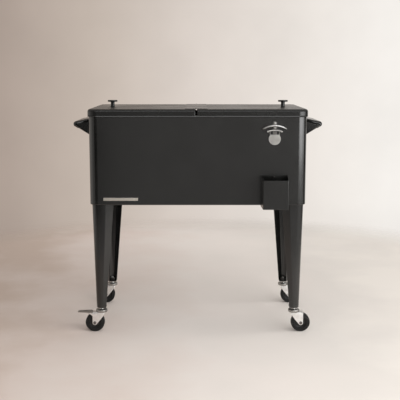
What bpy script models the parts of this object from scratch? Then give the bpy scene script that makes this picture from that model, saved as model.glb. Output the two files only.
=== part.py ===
"""Rolling patio cooler: an insulated sheet steel box with two hinged lid halves, on four legs and swivel casters.

Metres, +Z up. The front faces -Y and the floor is z = 0.
"""

import math

import bpy
from mathutils import Matrix, Vector

# Fits shared by the whole cooler
SEAT_GAP = 0.0003
CUT_OVERRUN = 0.002
CORNER_STEPS = 4
EDGE_STEPS = 3
HOLE_STEPS = 4
SMOOTH_ANGLE = math.radians(35)

# Casters: swivel stems with trailing wheels
WHEEL_RADIUS = 0.03175
WHEEL_WIDTH = 0.022
WHEEL_SIDES = 20
TYRE_DEPTH = 0.00925
TYRE_INNER_RADIUS = WHEEL_RADIUS - TYRE_DEPTH
TYRE_SHOULDER = 0.003
HUB_BOSS_RADIUS = 0.009
HUB_WEB_WIDTH = 0.010
HUB_RIM = 0.0027
HUB_RIM_INNER_RADIUS = TYRE_INNER_RADIUS - SEAT_GAP - HUB_RIM
AXLE_RADIUS = 0.004
AXLE_HEAD_RADIUS = 0.0065
AXLE_HEAD_HEIGHT = 0.0035
TRAIL = 0.0224
WHEEL_SIDE_GAP = 0.0020
WHEEL_TOP_GAP = 0.0017
FORK_GAP = WHEEL_WIDTH + 2 * WHEEL_SIDE_GAP
FORK_SHEET = 0.0022
FORK_END_RADIUS = 0.0078
FORK_BACK = TRAIL + FORK_END_RADIUS
FORK_SLANT_START = math.radians(210)
FORK_BEND_SHARE = 0.25
FORK_NOSE = 0.0120
FORK_KNEE = 0.0016
FORK_KNEE_DROP = 0.0207
CROWN_BOTTOM = 2 * WHEEL_RADIUS + WHEEL_TOP_GAP
FORK_KNEE_HEIGHT = CROWN_BOTTOM - FORK_KNEE_DROP
RACE_RADIUS = 0.0196
LOWER_RACE_RISE = 0.0054
UPPER_RACE_HEIGHT = 0.0057
RACE_EDGE = 0.0019
RACE_SPLIT = CROWN_BOTTOM + LOWER_RACE_RISE
RACE_TOP = RACE_SPLIT + UPPER_RACE_HEIGHT
STEM_NECK_RADIUS = 0.0070
STEM_NECK_HEIGHT = 0.0067
STEM_THREAD_RADIUS = 0.0047
STEM_NUT_RADIUS = 0.0092
STEM_NUT_HEIGHT = 0.0080
STEM_END = 0.0048
KINGPIN_RADIUS = 0.0040
KINGPIN_HEAD_RADIUS = 0.0058
KINGPIN_HEAD_HEIGHT = 0.0027
KINGPIN_BOTTOM = CROWN_BOTTOM - SEAT_GAP - KINGPIN_HEAD_HEIGHT
TURNED_SIDES = 12

# Brake lever of the front left caster
BRAKE_PIVOT_OUTSET = 0.0016
BRAKE_PIVOT_DROP = 0.0072
BRAKE_PIVOT_TRAIL = TRAIL + BRAKE_PIVOT_OUTSET
BRAKE_PIVOT_HEIGHT = CROWN_BOTTOM - BRAKE_PIVOT_DROP
BRAKE_EAR_RADIUS = 0.0050
BRAKE_EAR_SLANT = math.radians(45)
BRAKE_SHEET = 0.0018
BRAKE_BEND_SHARE = 0.25
BRAKE_PEDAL_RISE = 0.0032
BRAKE_PEDAL_GAP = 0.0043
BRAKE_PEDAL_SHOULDER = 0.0112
BRAKE_PEDAL_LENGTH = 0.0451
BRAKE_PEDAL_TOP = CROWN_BOTTOM + BRAKE_PEDAL_RISE
BRAKE_PEDAL_START = FORK_BACK + BRAKE_PEDAL_GAP
BRAKE_REACH = BRAKE_PEDAL_START + BRAKE_PEDAL_LENGTH
BRAKE_TIP_WIDTH = 0.0200
BRAKE_TIP_CORNER = 0.0025

# Legs: tapered pressed angles with a bent-in strip along each free edge
LEG_FOOT = RACE_TOP + STEM_NECK_HEIGHT
LEG_HEIGHT = 0.351
LEG_OUTSET_X = 0.0066
LEG_OUTSET_Y = 0.0050
LEG_TOP_WIDTH = 0.0708
LEG_FOOT_WIDTH = 0.0333
LEG_FLAT_SHARE = 0.655
LEG_BEND = math.radians(30)
LEG_LEAN_X_SHARE = 0.0245
LEG_LEAN_Y_SHARE = 0.0060
LEG_SHEET = 0.0020
LEG_CORNER_RADIUS = 0.020
FOOT_PLATE = 0.0030
FOOT_PLATE_RECESS = 0.0004
STEM_TOP = LEG_FOOT + FOOT_PLATE_RECESS + FOOT_PLATE + SEAT_GAP + STEM_NUT_HEIGHT + STEM_END

# Cabinet: the black sheet steel box
BODY_WIDTH = 0.712
BODY_DEPTH = 0.410
BODY_HEIGHT = 0.293
BODY_BOTTOM = LEG_FOOT + LEG_HEIGHT
BODY_TOP = BODY_BOTTOM + BODY_HEIGHT
BODY_RADIUS = 0.028
FRONT = -BODY_DEPTH / 2
REAR = BODY_DEPTH / 2
SIDE = BODY_WIDTH / 2
SHEET = 0.0012
BEAD_HEIGHT = 0.0036
BEAD_PROUD = 0.0030
HEM_RADIUS = 0.0028
HEM_WIDTH = 0.0034
PAN_RISE = 0.0260
PAN_FLANGE = 0.0150
PAN_BOTTOM = BODY_BOTTOM + PAN_RISE
LEG_TOP = PAN_BOTTOM - SEAT_GAP
CASTER_X = SIDE - LEG_OUTSET_X - LEG_HEIGHT * LEG_LEAN_X_SHARE - LEG_FOOT_WIDTH / 2
CASTER_Y = REAR - LEG_OUTSET_Y - LEG_HEIGHT * LEG_LEAN_Y_SHARE - LEG_FOOT_WIDTH / 2

# Tub and insulation
WALL_THICKNESS = 0.026
FLOOR_THICKNESS = 0.026
LINER_SHEET = 0.0015
LINER_RADIUS = 0.030
LINER_FLOOR_RADIUS = 0.015
LINER_LIP_RADIUS = 0.002
LINER_FLOOR = PAN_BOTTOM + SHEET + FLOOR_THICKNESS

# Lid halves, which meet a little left of the middle
LID_OVERHANG = 0.004
LID_WIDTH = BODY_WIDTH + 2 * LID_OVERHANG
LID_DEPTH = BODY_DEPTH + 2 * LID_OVERHANG
LID_HEIGHT = 0.0207
LID_RADIUS = BODY_RADIUS + BEAD_PROUD
LID_EDGE_RADIUS = 0.009
SEAM_X = -0.005
SEAM_GAP = 0.0055
SEAM_CORNER_RADIUS = 0.003
SEAM_EDGE_RADIUS = 0.002
LID_LINER_THICKNESS = 0.0015
GASKET_WIDTH = 0.008
GASKET_HEIGHT = 0.0026
GASKET_INSET = 0.0085
SKIRT_BOTTOM = BODY_TOP + SEAT_GAP
LID_TOP = SKIRT_BOTTOM + LID_HEIGHT
GASKET_TOP = SKIRT_BOTTOM + GASKET_HEIGHT
LID_LINER_BOTTOM = GASKET_TOP + SEAT_GAP
LID_LINER_TOP = LID_LINER_BOTTOM + LID_LINER_THICKNESS

# Continuous hinge over the seam
HINGE_END_INSET = 0.019
HINGE_LENGTH = LID_DEPTH - 2 * HINGE_END_INSET
LEAF_REACH = 0.0363
LEAF_THICKNESS = 0.0010
PIN_RADIUS = 0.0008
KNUCKLE_WALL = 0.0006
KNUCKLE_BORE = PIN_RADIUS + SEAT_GAP
KNUCKLE_RADIUS = KNUCKLE_BORE + KNUCKLE_WALL
KNUCKLE_COUNT = 9
KNUCKLE_SIDES = 8
LEAF_BOTTOM = LID_TOP + SEAT_GAP
HINGE_HEIGHT = LEAF_BOTTOM + LEAF_THICKNESS

# Lid knobs
KNOB_INSET = 0.065
KNOB_X = LID_WIDTH / 2 - KNOB_INSET
KNOB_HEIGHT = 0.0222
KNOB_CAP_RADIUS = 0.0168
KNOB_CAP_HEIGHT = 0.0085
KNOB_STEM_RADIUS = 0.0068
KNOB_BASE_RADIUS = 0.0082
KNOB_SIDES = 16

# Side handles: pressed hoods, open below, with a thick rolled grip
HANDLE_LENGTH = 0.206
HANDLE_REACH = 0.0627
HANDLE_DROP = 0.011
HANDLE_HEIGHT = 0.0625
HANDLE_TIP_DROP = 0.0225
HANDLE_TOP = BODY_TOP - HANDLE_DROP
HANDLE_BOTTOM = HANDLE_TOP - HANDLE_HEIGHT
HANDLE_TIP_HEIGHT = HANDLE_TOP - HANDLE_TIP_DROP
HANDLE_TIP_RADIUS = 0.0095
HANDLE_EDGE_RADIUS = 0.007
HANDLE_WALL = 0.003
HANDLE_GRIP = 0.016

# Bottle opener: a casting with an arched hood above a round plate
FITTING_INSET = 0.1065
FITTING_X = SIDE - FITTING_INSET
OPENER_DROP = 0.0750
OPENER_DISC_RADIUS = 0.0197
OPENER_DISC_HEIGHT = BODY_TOP - OPENER_DROP
OPENER_DISC_RISE = 0.0144
OPENER_DISC_TOP = OPENER_DISC_HEIGHT + OPENER_DISC_RISE
OPENER_DISC_PROUD = 0.0060
OPENER_PLATE = 0.0030
OPENER_NECK_WIDTH = 0.0140
OPENER_LUG_RADIUS = 0.0065
OPENER_LUG_RISE = 0.0510
OPENER_LUG_HEIGHT = OPENER_DISC_HEIGHT + OPENER_LUG_RISE
HOOD_RADIUS = 0.0698
HOOD_RISE = 0.0465
HOOD_TOP = OPENER_DISC_HEIGHT + HOOD_RISE
HOOD_HALF_SPAN = 0.0395
HOOD_THICKNESS = 0.0045
HOOD_PROUD = 0.0240
LIP_RISE = 0.0312
LIP_TOP = OPENER_DISC_HEIGHT + LIP_RISE
LIP_HALF_SPAN = 0.0252
LIP_THICKNESS = 0.0045
LIP_PROUD = 0.0130
TOOTH_WIDTH = 0.0060
TOOTH_DROP = 0.0085
TOOTH_INSET_SHARE = 0.75
TOOTH_REACH_SHARE = 0.875
OPENER_RIB_WIDTH = 0.0045
OPENER_RIB_RISE_SHARE = 0.25
ARC_STEPS = 10
SCREW_RADIUS = 0.0021
SCREW_HEAD_RADIUS = 0.0042
SCREW_HEAD_HEIGHT = 0.0022
SCREW_LENGTH = 0.0080
SCREW_SIDES = 10
OPENER_SCREW_DROP = 0.0150

# Cap catcher: an open steel box hung on one screw by a keyhole
CATCHER_DEPTH = 0.080
CATCHER_TAPER = 0.0025
CATCHER_BACK_WIDTH = 0.087
CATCHER_FRONT_WIDTH = CATCHER_BACK_WIDTH - 2 * CATCHER_TAPER
CATCHER_HANG = 0.0025
CATCHER_FRONT_HEIGHT = 0.0935
CATCHER_RIM_RISE = 0.0107
CATCHER_BOTTOM = BODY_BOTTOM - CATCHER_HANG
CATCHER_FRONT_TOP = CATCHER_BOTTOM + CATCHER_FRONT_HEIGHT
CATCHER_BACK_TOP = CATCHER_FRONT_TOP + CATCHER_RIM_RISE
CATCHER_SHEET = 0.0012
CATCHER_SCREW_DROP = 0.0085
CATCHER_SCREW_HEIGHT = CATCHER_BACK_TOP - CATCHER_SCREW_DROP
KEYHOLE_DROP = 0.0110
KEYHOLE_RADIUS = 0.0050

# Name plate: a bare brushed strip
PLATE_INSET = 0.046
PLATE_RISE = 0.0147
PLATE_LEFT = PLATE_INSET - SIDE
PLATE_LOW = BODY_BOTTOM + PLATE_RISE
PLATE_WIDTH = 0.1138
PLATE_HEIGHT = 0.0097
PLATE_THICKNESS = 0.0008

# Drain in the rear wall
DRAIN_INSET = 0.106
DRAIN_RISE = 0.0180
DRAIN_X = SIDE - DRAIN_INSET
DRAIN_HEIGHT = LINER_FLOOR + DRAIN_RISE + LINER_FLOOR_RADIUS
DRAIN_BORE = 0.0080
DRAIN_TUBE_WALL = 0.0030
DRAIN_TUBE_RADIUS = DRAIN_BORE + DRAIN_TUBE_WALL
DRAIN_FLANGE_WIDTH = 0.0060
DRAIN_FLANGE_RADIUS = DRAIN_TUBE_RADIUS + DRAIN_FLANGE_WIDTH
DRAIN_FLANGE_THICKNESS = 0.0025
DRAIN_NUT_WALL = 0.0055
DRAIN_NUT_RADIUS = DRAIN_TUBE_RADIUS + DRAIN_NUT_WALL
DRAIN_NUT_HEIGHT = 0.0060
DRAIN_WASHER_WIDTH = 0.0050
DRAIN_WASHER_RADIUS = DRAIN_TUBE_RADIUS + DRAIN_WASHER_WIDTH
DRAIN_WASHER_THICKNESS = 0.0020
DRAIN_CAP_WALL = 0.0025
DRAIN_CAP_HEIGHT = 0.0160

# Depth in front and behind, which sets the middle of the whole cooler
DRAIN_REACH = SEAT_GAP + DRAIN_WASHER_THICKNESS + SEAT_GAP + DRAIN_NUT_HEIGHT + SEAT_GAP + DRAIN_CAP_HEIGHT
FRONT_REACH = SEAT_GAP + CATCHER_DEPTH
CENTRING = (FRONT_REACH - DRAIN_REACH) / 2

# Finishes: colour, roughness, metallic
BLACK_POWDER_COAT = ((0.030, 0.029, 0.027), 0.38, 0.0)
BRIGHT_STEEL = ((0.62, 0.61, 0.59), 0.28, 1.0)
CAST_ZINC = ((0.55, 0.54, 0.52), 0.40, 1.0)
ZINC_PLATE = ((0.66, 0.65, 0.63), 0.34, 1.0)
BLACK_PLASTIC = ((0.020, 0.020, 0.020), 0.30, 0.0)
WHITE_PLASTIC = ((0.78, 0.78, 0.76), 0.35, 0.0)
BLACK_RUBBER = ((0.018, 0.018, 0.018), 0.75, 0.0)
GREY_RUBBER = ((0.12, 0.12, 0.12), 0.70, 0.0)
CREAM_FOAM = ((0.75, 0.68, 0.45), 0.90, 0.0)


def clear_scene():
    for found in list(bpy.data.objects):
        bpy.data.objects.remove(found)


def empty(name, place, parent=None, turn=0):
    """A point that pieces hang on, turned about the vertical."""
    point = bpy.data.objects.new(name, None)
    bpy.context.scene.collection.objects.link(point)
    point.location = place
    point.rotation_euler = (0, 0, turn)
    point.parent = parent
    return point


def loft(rings, closed=False):
    """Skin over rings of equal count: capped at both ends, or joined from the last ring to the first."""
    count = len(rings[0])
    points = [point for ring in rings for point in ring]
    faces = []
    for low in range(len(rings) if closed else len(rings) - 1):
        high = (low + 1) % len(rings)
        for here in range(count):
            after = (here + 1) % count
            faces.append((low * count + here, low * count + after, high * count + after, high * count + here))
    if not closed:
        last = len(rings) - 1
        faces.append(tuple(reversed(range(count))))
        faces.append(tuple(range(last * count, last * count + count)))
    return points, faces


def mesh_object(name, shape, parent, pivot):
    """An object whose points are in its parent's frame and whose origin is the pivot."""
    points, faces = shape
    mesh = bpy.data.meshes.new(name)
    mesh.from_pydata(points, [], faces)
    mesh.transform(Matrix.Translation(-Vector(pivot)))
    made = bpy.data.objects.new(name, mesh)
    bpy.context.scene.collection.objects.link(made)
    made.parent = parent
    made.location = pivot
    return made


def finish_with(made, finish):
    """Gives the object its own material and smooth shading up to a sharp angle."""
    colour, roughness, metallic = finish
    material = bpy.data.materials.new(made.name + "_finish")
    material.use_nodes = True
    shader = material.node_tree.nodes["Principled BSDF"]
    shader.inputs["Base Color"].default_value = (*colour, 1)
    shader.inputs["Roughness"].default_value = roughness
    shader.inputs["Metallic"].default_value = metallic
    material.diffuse_color = (*colour, 1)
    made.data.materials.append(material)
    made.data.shade_smooth()
    made.data.set_sharp_from_angle(angle=SMOOTH_ANGLE)


def piece(name, shape, finish, parent, pivot=(0, 0, 0), rotation=(0, 0, 0)):
    made = mesh_object(name, shape, parent, pivot)
    made.rotation_euler = rotation
    finish_with(made, finish)
    return made


def shaped_by(made, shape, operation, rotation=(0, 0, 0)):
    """Joins a second shape to the object, or cuts it away, with a hidden guide in the object's own frame."""
    guide = mesh_object(made.name + "_guide", shape, made.parent, (0, 0, 0))
    guide.rotation_euler = rotation
    guide.hide_render = True
    guide.display_type = "WIRE"
    modifier = made.modifiers.new(operation.lower(), "BOOLEAN")
    modifier.operation = operation
    modifier.solver = "EXACT"
    modifier.object = guide


def merged(shapes):
    """Several closed shapes as one set of points and faces."""
    points = []
    faces = []
    for more_points, more_faces in shapes:
        start = len(points)
        points.extend(more_points)
        faces.extend(tuple(start + corner for corner in face) for face in more_faces)
    return points, faces


def rounded_ring(left, right, front, back, height, left_radius, right_radius):
    """A level rectangle with rounded corners, counter-clockwise from above."""
    corners = (
        (right - right_radius, front + right_radius, right_radius, -math.pi / 2),
        (right - right_radius, back - right_radius, right_radius, 0),
        (left + left_radius, back - left_radius, left_radius, math.pi / 2),
        (left + left_radius, front + left_radius, left_radius, math.pi),
    )
    ring = []
    for x, y, radius, start in corners:
        for step in range(CORNER_STEPS + 1):
            angle = start + math.pi / 2 * step / CORNER_STEPS
            ring.append((x + radius * math.cos(angle), y + radius * math.sin(angle), height))
    return ring


def cabinet_ring(inset, height, radius):
    half_width = SIDE - inset
    half_depth = REAR - inset
    return rounded_ring(-half_width, half_width, -half_depth, half_depth, height, radius, radius)


def quarter(radius, steps):
    """Sideways and upward parts of a quarter round, from its side to its top."""
    turns = [math.pi / 2 * step / steps for step in range(steps + 1)]
    return [(radius * (1 - math.cos(turn)), radius * math.sin(turn)) for turn in turns]


def turned(profile, sides, centre=(0, 0), closed=False):
    """A profile of (radius, height) turned about the vertical, with a flat side towards each axis."""
    rings = []
    for radius, height in profile:
        ring = []
        for side in range(sides):
            angle = math.tau * (side + 1 / 2) / sides
            ring.append((centre[0] + radius * math.cos(angle), centre[1] + radius * math.sin(angle), height))
        rings.append(ring)
    return loft(rings, closed)


def rod(radius, low, high, sides, centre=(0, 0)):
    return turned([(radius, low), (radius, high)], sides, centre)


def upright_prism(outline, back, front):
    """An outline of (x, z), counter-clockwise seen from the front, carried from the back to the front."""
    return loft([[(x, back, z) for x, z in outline], [(x, front, z) for x, z in outline]])


def level_prism(outline, low, high):
    """An outline of (x, y), counter-clockwise seen from above, carried upwards."""
    return loft([[(x, y, low) for x, y in outline], [(x, y, high) for x, y in outline]])


def level_round(profile, sides, x, z, closed=False):
    """A profile of (radius, y) turned about a line along Y; its outer side runs towards the front."""
    rings = []
    for radius, y in profile:
        ring = []
        for side in range(sides):
            angle = math.tau * (side + 1 / 2) / sides
            ring.append((x + radius * math.cos(angle), y, z + radius * math.sin(angle)))
        rings.append(ring)
    return loft(rings, closed)


def arc(centre, radius, start, end, steps):
    """Points on a circle from one angle to another."""
    points = []
    for step in range(steps + 1):
        angle = start + (end - start) * step / steps
        points.append((centre[0] + radius * math.cos(angle), centre[1] + radius * math.sin(angle)))
    return points


def front_screw_holes(end):
    """Clearance holes for the screws of the opener and the catcher, from in front of the wall to a plane behind it."""
    heights = (OPENER_LUG_HEIGHT, OPENER_LUG_HEIGHT - OPENER_SCREW_DROP, CATCHER_SCREW_HEIGHT)
    radius = SCREW_RADIUS + SEAT_GAP
    profile = ((radius, end), (radius, FRONT - CATCHER_SHEET - OPENER_PLATE - CUT_OVERRUN))
    return merged([level_round(profile, SCREW_SIDES, FITTING_X, height) for height in heights])


def drain_hole():
    """Clearance hole for the drain tube through the rear wall."""
    radius = DRAIN_TUBE_RADIUS + SEAT_GAP
    profile = ((radius, REAR + CUT_OVERRUN), (radius, REAR - WALL_THICKNESS - CUT_OVERRUN))
    return level_round(profile, TURNED_SIDES, DRAIN_X, DRAIN_HEIGHT)


def outer_casing(parent):
    """Sheet steel tube with a bead round its top edge and a hem turned in at the bottom."""
    hem = [(inset, BODY_BOTTOM + HEM_RADIUS - rise) for inset, rise in reversed(quarter(HEM_RADIUS, EDGE_STEPS))]
    bead_radius = BEAD_HEIGHT / 2
    bulge = BEAD_PROUD / bead_radius
    half_round = arc((0, BODY_TOP - bead_radius), bead_radius, -math.pi / 2, math.pi / 2, HOLE_STEPS)
    bead = [(-out * bulge, height) for out, height in half_round]
    inner = [
        (SHEET, BODY_TOP),
        (SHEET, BODY_BOTTOM + HEM_RADIUS),
        (HEM_RADIUS, BODY_BOTTOM + SHEET),
        (HEM_WIDTH, BODY_BOTTOM + SHEET),
    ]
    profile = [(HEM_WIDTH, BODY_BOTTOM), *hem, *bead, *inner]
    rings = [cabinet_ring(inset, height, BODY_RADIUS - inset) for inset, height in profile]
    made = piece("outer_casing", loft(rings, closed=True), BLACK_POWDER_COAT, parent)
    shaped_by(made, front_screw_holes(FRONT + SHEET + CUT_OVERRUN), "DIFFERENCE")
    shaped_by(made, drain_hole(), "DIFFERENCE")


def base_pan(parent):
    """Steel floor of the cabinet, welded in by the flange that hangs from its edge."""
    outer = SHEET + SEAT_GAP
    profile = (
        (outer + SHEET, PAN_BOTTOM),
        (outer + SHEET, PAN_BOTTOM - PAN_FLANGE),
        (outer, PAN_BOTTOM - PAN_FLANGE),
        (outer, PAN_BOTTOM + SHEET),
    )
    rings = [cabinet_ring(inset, height, BODY_RADIUS - inset) for inset, height in profile]
    piece("base_pan", loft(rings), BLACK_POWDER_COAT, parent)


def foam_insulation(parent):
    """Foam between the casing and the tub."""
    outer = SHEET + SEAT_GAP
    inner = WALL_THICKNESS - LINER_SHEET - SEAT_GAP
    top = BODY_TOP - LINER_SHEET - SEAT_GAP
    inner_radius = LINER_RADIUS + LINER_SHEET + SEAT_GAP
    rings = [
        cabinet_ring(outer, PAN_BOTTOM + SHEET + SEAT_GAP, BODY_RADIUS - outer),
        cabinet_ring(outer, top, BODY_RADIUS - outer),
        cabinet_ring(inner, top, inner_radius),
        cabinet_ring(inner, LINER_FLOOR - LINER_SHEET - SEAT_GAP, inner_radius),
    ]
    made = piece("foam_insulation", loft(rings), CREAM_FOAM, parent)
    shaped_by(made, front_screw_holes(FRONT + SCREW_LENGTH + CUT_OVERRUN), "DIFFERENCE")
    shaped_by(made, drain_hole(), "DIFFERENCE")


def inner_liner(parent):
    """White plastic tub whose flange lies on the foam inside the casing's top edge."""
    rim = SHEET + SEAT_GAP
    outer = WALL_THICKNESS - LINER_SHEET
    outer_floor = LINER_FLOOR - LINER_SHEET
    outer_radius = LINER_RADIUS + LINER_SHEET
    rings = [
        cabinet_ring(outer + LINER_FLOOR_RADIUS, outer_floor, outer_radius - LINER_FLOOR_RADIUS),
        cabinet_ring(outer, outer_floor + LINER_FLOOR_RADIUS, outer_radius),
        cabinet_ring(outer, BODY_TOP - LINER_SHEET, outer_radius),
        cabinet_ring(rim, BODY_TOP - LINER_SHEET, BODY_RADIUS - rim),
        cabinet_ring(rim, BODY_TOP, BODY_RADIUS - rim),
        cabinet_ring(WALL_THICKNESS - LINER_LIP_RADIUS, BODY_TOP, LINER_RADIUS + LINER_LIP_RADIUS),
        cabinet_ring(WALL_THICKNESS, BODY_TOP - LINER_LIP_RADIUS, LINER_RADIUS),
    ]
    for side, rise in quarter(LINER_FLOOR_RADIUS, EDGE_STEPS):
        height = LINER_FLOOR + LINER_FLOOR_RADIUS - rise
        rings.append(cabinet_ring(WALL_THICKNESS + side, height, LINER_RADIUS - side))
    made = piece("inner_liner", loft(rings), WHITE_PLASTIC, parent)
    shaped_by(made, drain_hole(), "DIFFERENCE")


def name_plate(parent):
    back = FRONT - SEAT_GAP
    right = PLATE_LEFT + PLATE_WIDTH
    top = PLATE_LOW + PLATE_HEIGHT
    outline = ((PLATE_LEFT, PLATE_LOW), (right, PLATE_LOW), (right, top), (PLATE_LEFT, top))
    piece("name_plate", upright_prism(outline, back, back - PLATE_THICKNESS), BRIGHT_STEEL, parent)


def leg_line(height, depth):
    """Plan line of a leg's sheet, at a depth below its outer face, from one free edge round the corner to the other."""
    drop = BODY_BOTTOM - height
    x = SIDE - LEG_OUTSET_X - drop * LEG_LEAN_X_SHARE
    y = REAR - LEG_OUTSET_Y - drop * LEG_LEAN_Y_SHARE
    width = LEG_TOP_WIDTH - (LEG_TOP_WIDTH - LEG_FOOT_WIDTH) * drop / LEG_HEIGHT
    flat = width * LEG_FLAT_SHARE - depth * math.tan(LEG_BEND / 2)
    along = width - depth * math.sin(LEG_BEND)
    inward = width * (1 - LEG_FLAT_SHARE) * math.tan(LEG_BEND) + depth * math.cos(LEG_BEND)
    corner = (x - LEG_CORNER_RADIUS, y - LEG_CORNER_RADIUS)
    bend = arc(corner, LEG_CORNER_RADIUS - depth, 0, math.pi / 2, CORNER_STEPS)
    return [(x - inward, y - along), (x - depth, y - flat), *bend, (x - flat, y - depth), (x - along, y - inward)]


def leg(name, side, end, parent):
    """Pressed steel leg with a plate across its foot for the caster stem."""

    def placed(line, height):
        ring = [(side * x, end * y, height) for x, y in line]
        return ring if side * end > 0 else list(reversed(ring))

    section = []
    for height in (LEG_FOOT, LEG_TOP):
        line = leg_line(height, 0) + list(reversed(leg_line(height, LEG_SHEET)))
        section.append(placed(line, height))
    made = piece(name, loft(section), BLACK_POWDER_COAT, parent)
    plate_low = LEG_FOOT + FOOT_PLATE_RECESS
    plate_line = leg_line(plate_low, LEG_SHEET / 2)
    plate_line.append((plate_line[-1][0], plate_line[0][1]))
    plate = [placed(plate_line, height) for height in (plate_low, plate_low + FOOT_PLATE)]
    shaped_by(made, loft(plate), "UNION")
    low = LEG_FOOT - CUT_OVERRUN
    high = plate_low + FOOT_PLATE + CUT_OVERRUN
    hole = rod(STEM_THREAD_RADIUS + SEAT_GAP, low, high, TURNED_SIDES, (side * CASTER_X, end * CASTER_Y))
    shaped_by(made, hole, "DIFFERENCE")


def handle_section(inset, y):
    """Outline of a side handle's hood across its length: wall foot, round grip, sloping top."""
    top = HANDLE_TOP - inset
    centre = (HANDLE_REACH - HANDLE_TIP_RADIUS, HANDLE_TIP_HEIGHT)
    radius = HANDLE_TIP_RADIUS - inset
    top_slope = math.atan2(top - centre[1] - radius, centre[0])
    foot_slope = math.atan2(centre[1] - radius - HANDLE_BOTTOM, centre[0])
    tip = arc(centre, radius, foot_slope - math.pi / 2, math.pi / 2 - top_slope, HOLE_STEPS)
    return [(x, y, z) for x, z in ((0, HANDLE_BOTTOM), *tip, (0, top))]


def side_handle(name, side, parent):
    """Pressed steel hood with a thick grip along its tip; the fingers reach in from below."""
    frame = empty(name + "_place", (side * (SIDE + SEAT_GAP), 0, 0), parent, 0 if side > 0 else math.pi)
    half = HANDLE_LENGTH / 2
    ends = quarter(HANDLE_EDGE_RADIUS, EDGE_STEPS)
    back = [handle_section(HANDLE_EDGE_RADIUS - rise, half - out) for out, rise in ends]
    front = [handle_section(HANDLE_EDGE_RADIUS - rise, out - half) for out, rise in reversed(ends)]
    made = piece(name, loft(back + front), BLACK_POWDER_COAT, frame)
    reach = HANDLE_REACH - HANDLE_GRIP
    slope = (HANDLE_TOP - HANDLE_TIP_HEIGHT - HANDLE_TIP_RADIUS) / (HANDLE_REACH - HANDLE_TIP_RADIUS)
    low = HANDLE_BOTTOM - CUT_OVERRUN
    ceiling = HANDLE_TOP - HANDLE_WALL
    outline = (
        (HANDLE_WALL, low),
        (reach, low),
        (reach, ceiling - slope * reach),
        (HANDLE_WALL, ceiling - slope * HANDLE_WALL),
    )
    shaped_by(made, upright_prism(outline, half - HANDLE_WALL, HANDLE_WALL - half), "DIFFERENCE")


def lid_ring(side, inset, seam_inset, height):
    """Level outline of one lid half: large corners at the end of the cabinet, small ones at the seam."""
    outer = LID_WIDTH / 2 - inset
    half_depth = LID_DEPTH / 2 - inset
    radius = LID_RADIUS - inset
    seam = SEAM_GAP / 2 + seam_inset
    if side > 0:
        return rounded_ring(SEAM_X + seam, outer, -half_depth, half_depth, height, SEAM_CORNER_RADIUS, radius)
    return rounded_ring(-outer, SEAM_X - seam, -half_depth, half_depth, height, radius, SEAM_CORNER_RADIUS)


def lid_edge(side, inset):
    """Rings up the round edge of a lid half, at an inset below its outer face."""
    radius = LID_EDGE_RADIUS - inset
    seam_radius = SEAM_EDGE_RADIUS - inset
    rings = []
    for out, rise in quarter(radius, EDGE_STEPS):
        height = LID_TOP - LID_EDGE_RADIUS + rise
        rings.append(lid_ring(side, inset + out, inset + out * seam_radius / radius, height))
    return rings


def lid_half(word, side, parent, axis):
    """One lid half: pressed skin, foam, underside sheet, seal and knob."""
    skin = [
        *reversed(lid_edge(side, SHEET)),
        lid_ring(side, SHEET, SHEET, SKIRT_BOTTOM),
        lid_ring(side, 0, 0, SKIRT_BOTTOM),
        *lid_edge(side, 0),
    ]
    piece(word + "_lid_skin", loft(skin), BLACK_POWDER_COAT, parent, axis)
    inset = SHEET + SEAT_GAP
    top = LID_TOP - SHEET - SEAT_GAP
    foam = [
        lid_ring(side, inset, inset, LID_LINER_TOP + SEAT_GAP),
        lid_ring(side, inset, inset, LID_TOP - LID_EDGE_RADIUS),
        lid_ring(side, LID_EDGE_RADIUS, SEAM_EDGE_RADIUS, top),
    ]
    piece(word + "_lid_foam", loft(foam), CREAM_FOAM, parent, axis)
    liner = [lid_ring(side, inset, inset, height) for height in (LID_LINER_BOTTOM, LID_LINER_TOP)]
    piece(word + "_lid_liner", loft(liner), WHITE_PLASTIC, parent, axis)
    outer = GASKET_INSET
    inner = GASKET_INSET + GASKET_WIDTH
    gasket = [
        lid_ring(side, outer, outer, SKIRT_BOTTOM),
        lid_ring(side, outer, outer, GASKET_TOP),
        lid_ring(side, inner, inner, GASKET_TOP),
        lid_ring(side, inner, inner, SKIRT_BOTTOM),
    ]
    piece(word + "_lid_gasket", loft(gasket, closed=True), GREY_RUBBER, parent, axis)
    lid_knob(word + "_lid_knob", (side * KNOB_X, 0), parent, axis)


def lid_knob(name, centre, parent, axis):
    """Turned knob with a flat cap on a narrow stem."""
    base = LID_TOP + SEAT_GAP
    top = base + KNOB_HEIGHT
    cap_bottom = top - KNOB_CAP_HEIGHT
    edge = KNOB_CAP_HEIGHT / 4
    flare = KNOB_BASE_RADIUS - KNOB_STEM_RADIUS
    profile = (
        (KNOB_BASE_RADIUS, base),
        (KNOB_BASE_RADIUS, base + flare),
        (KNOB_STEM_RADIUS, base + 2 * flare),
        (KNOB_STEM_RADIUS, cap_bottom - edge),
        (KNOB_CAP_RADIUS - edge, cap_bottom),
        (KNOB_CAP_RADIUS, cap_bottom + edge),
        (KNOB_CAP_RADIUS, top - edge),
        (KNOB_CAP_RADIUS - edge, top - edge / 4),
        (KNOB_STEM_RADIUS, top),
    )
    piece(name, turned(profile, KNOB_SIDES, centre), BLACK_PLASTIC, parent, axis)


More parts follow.
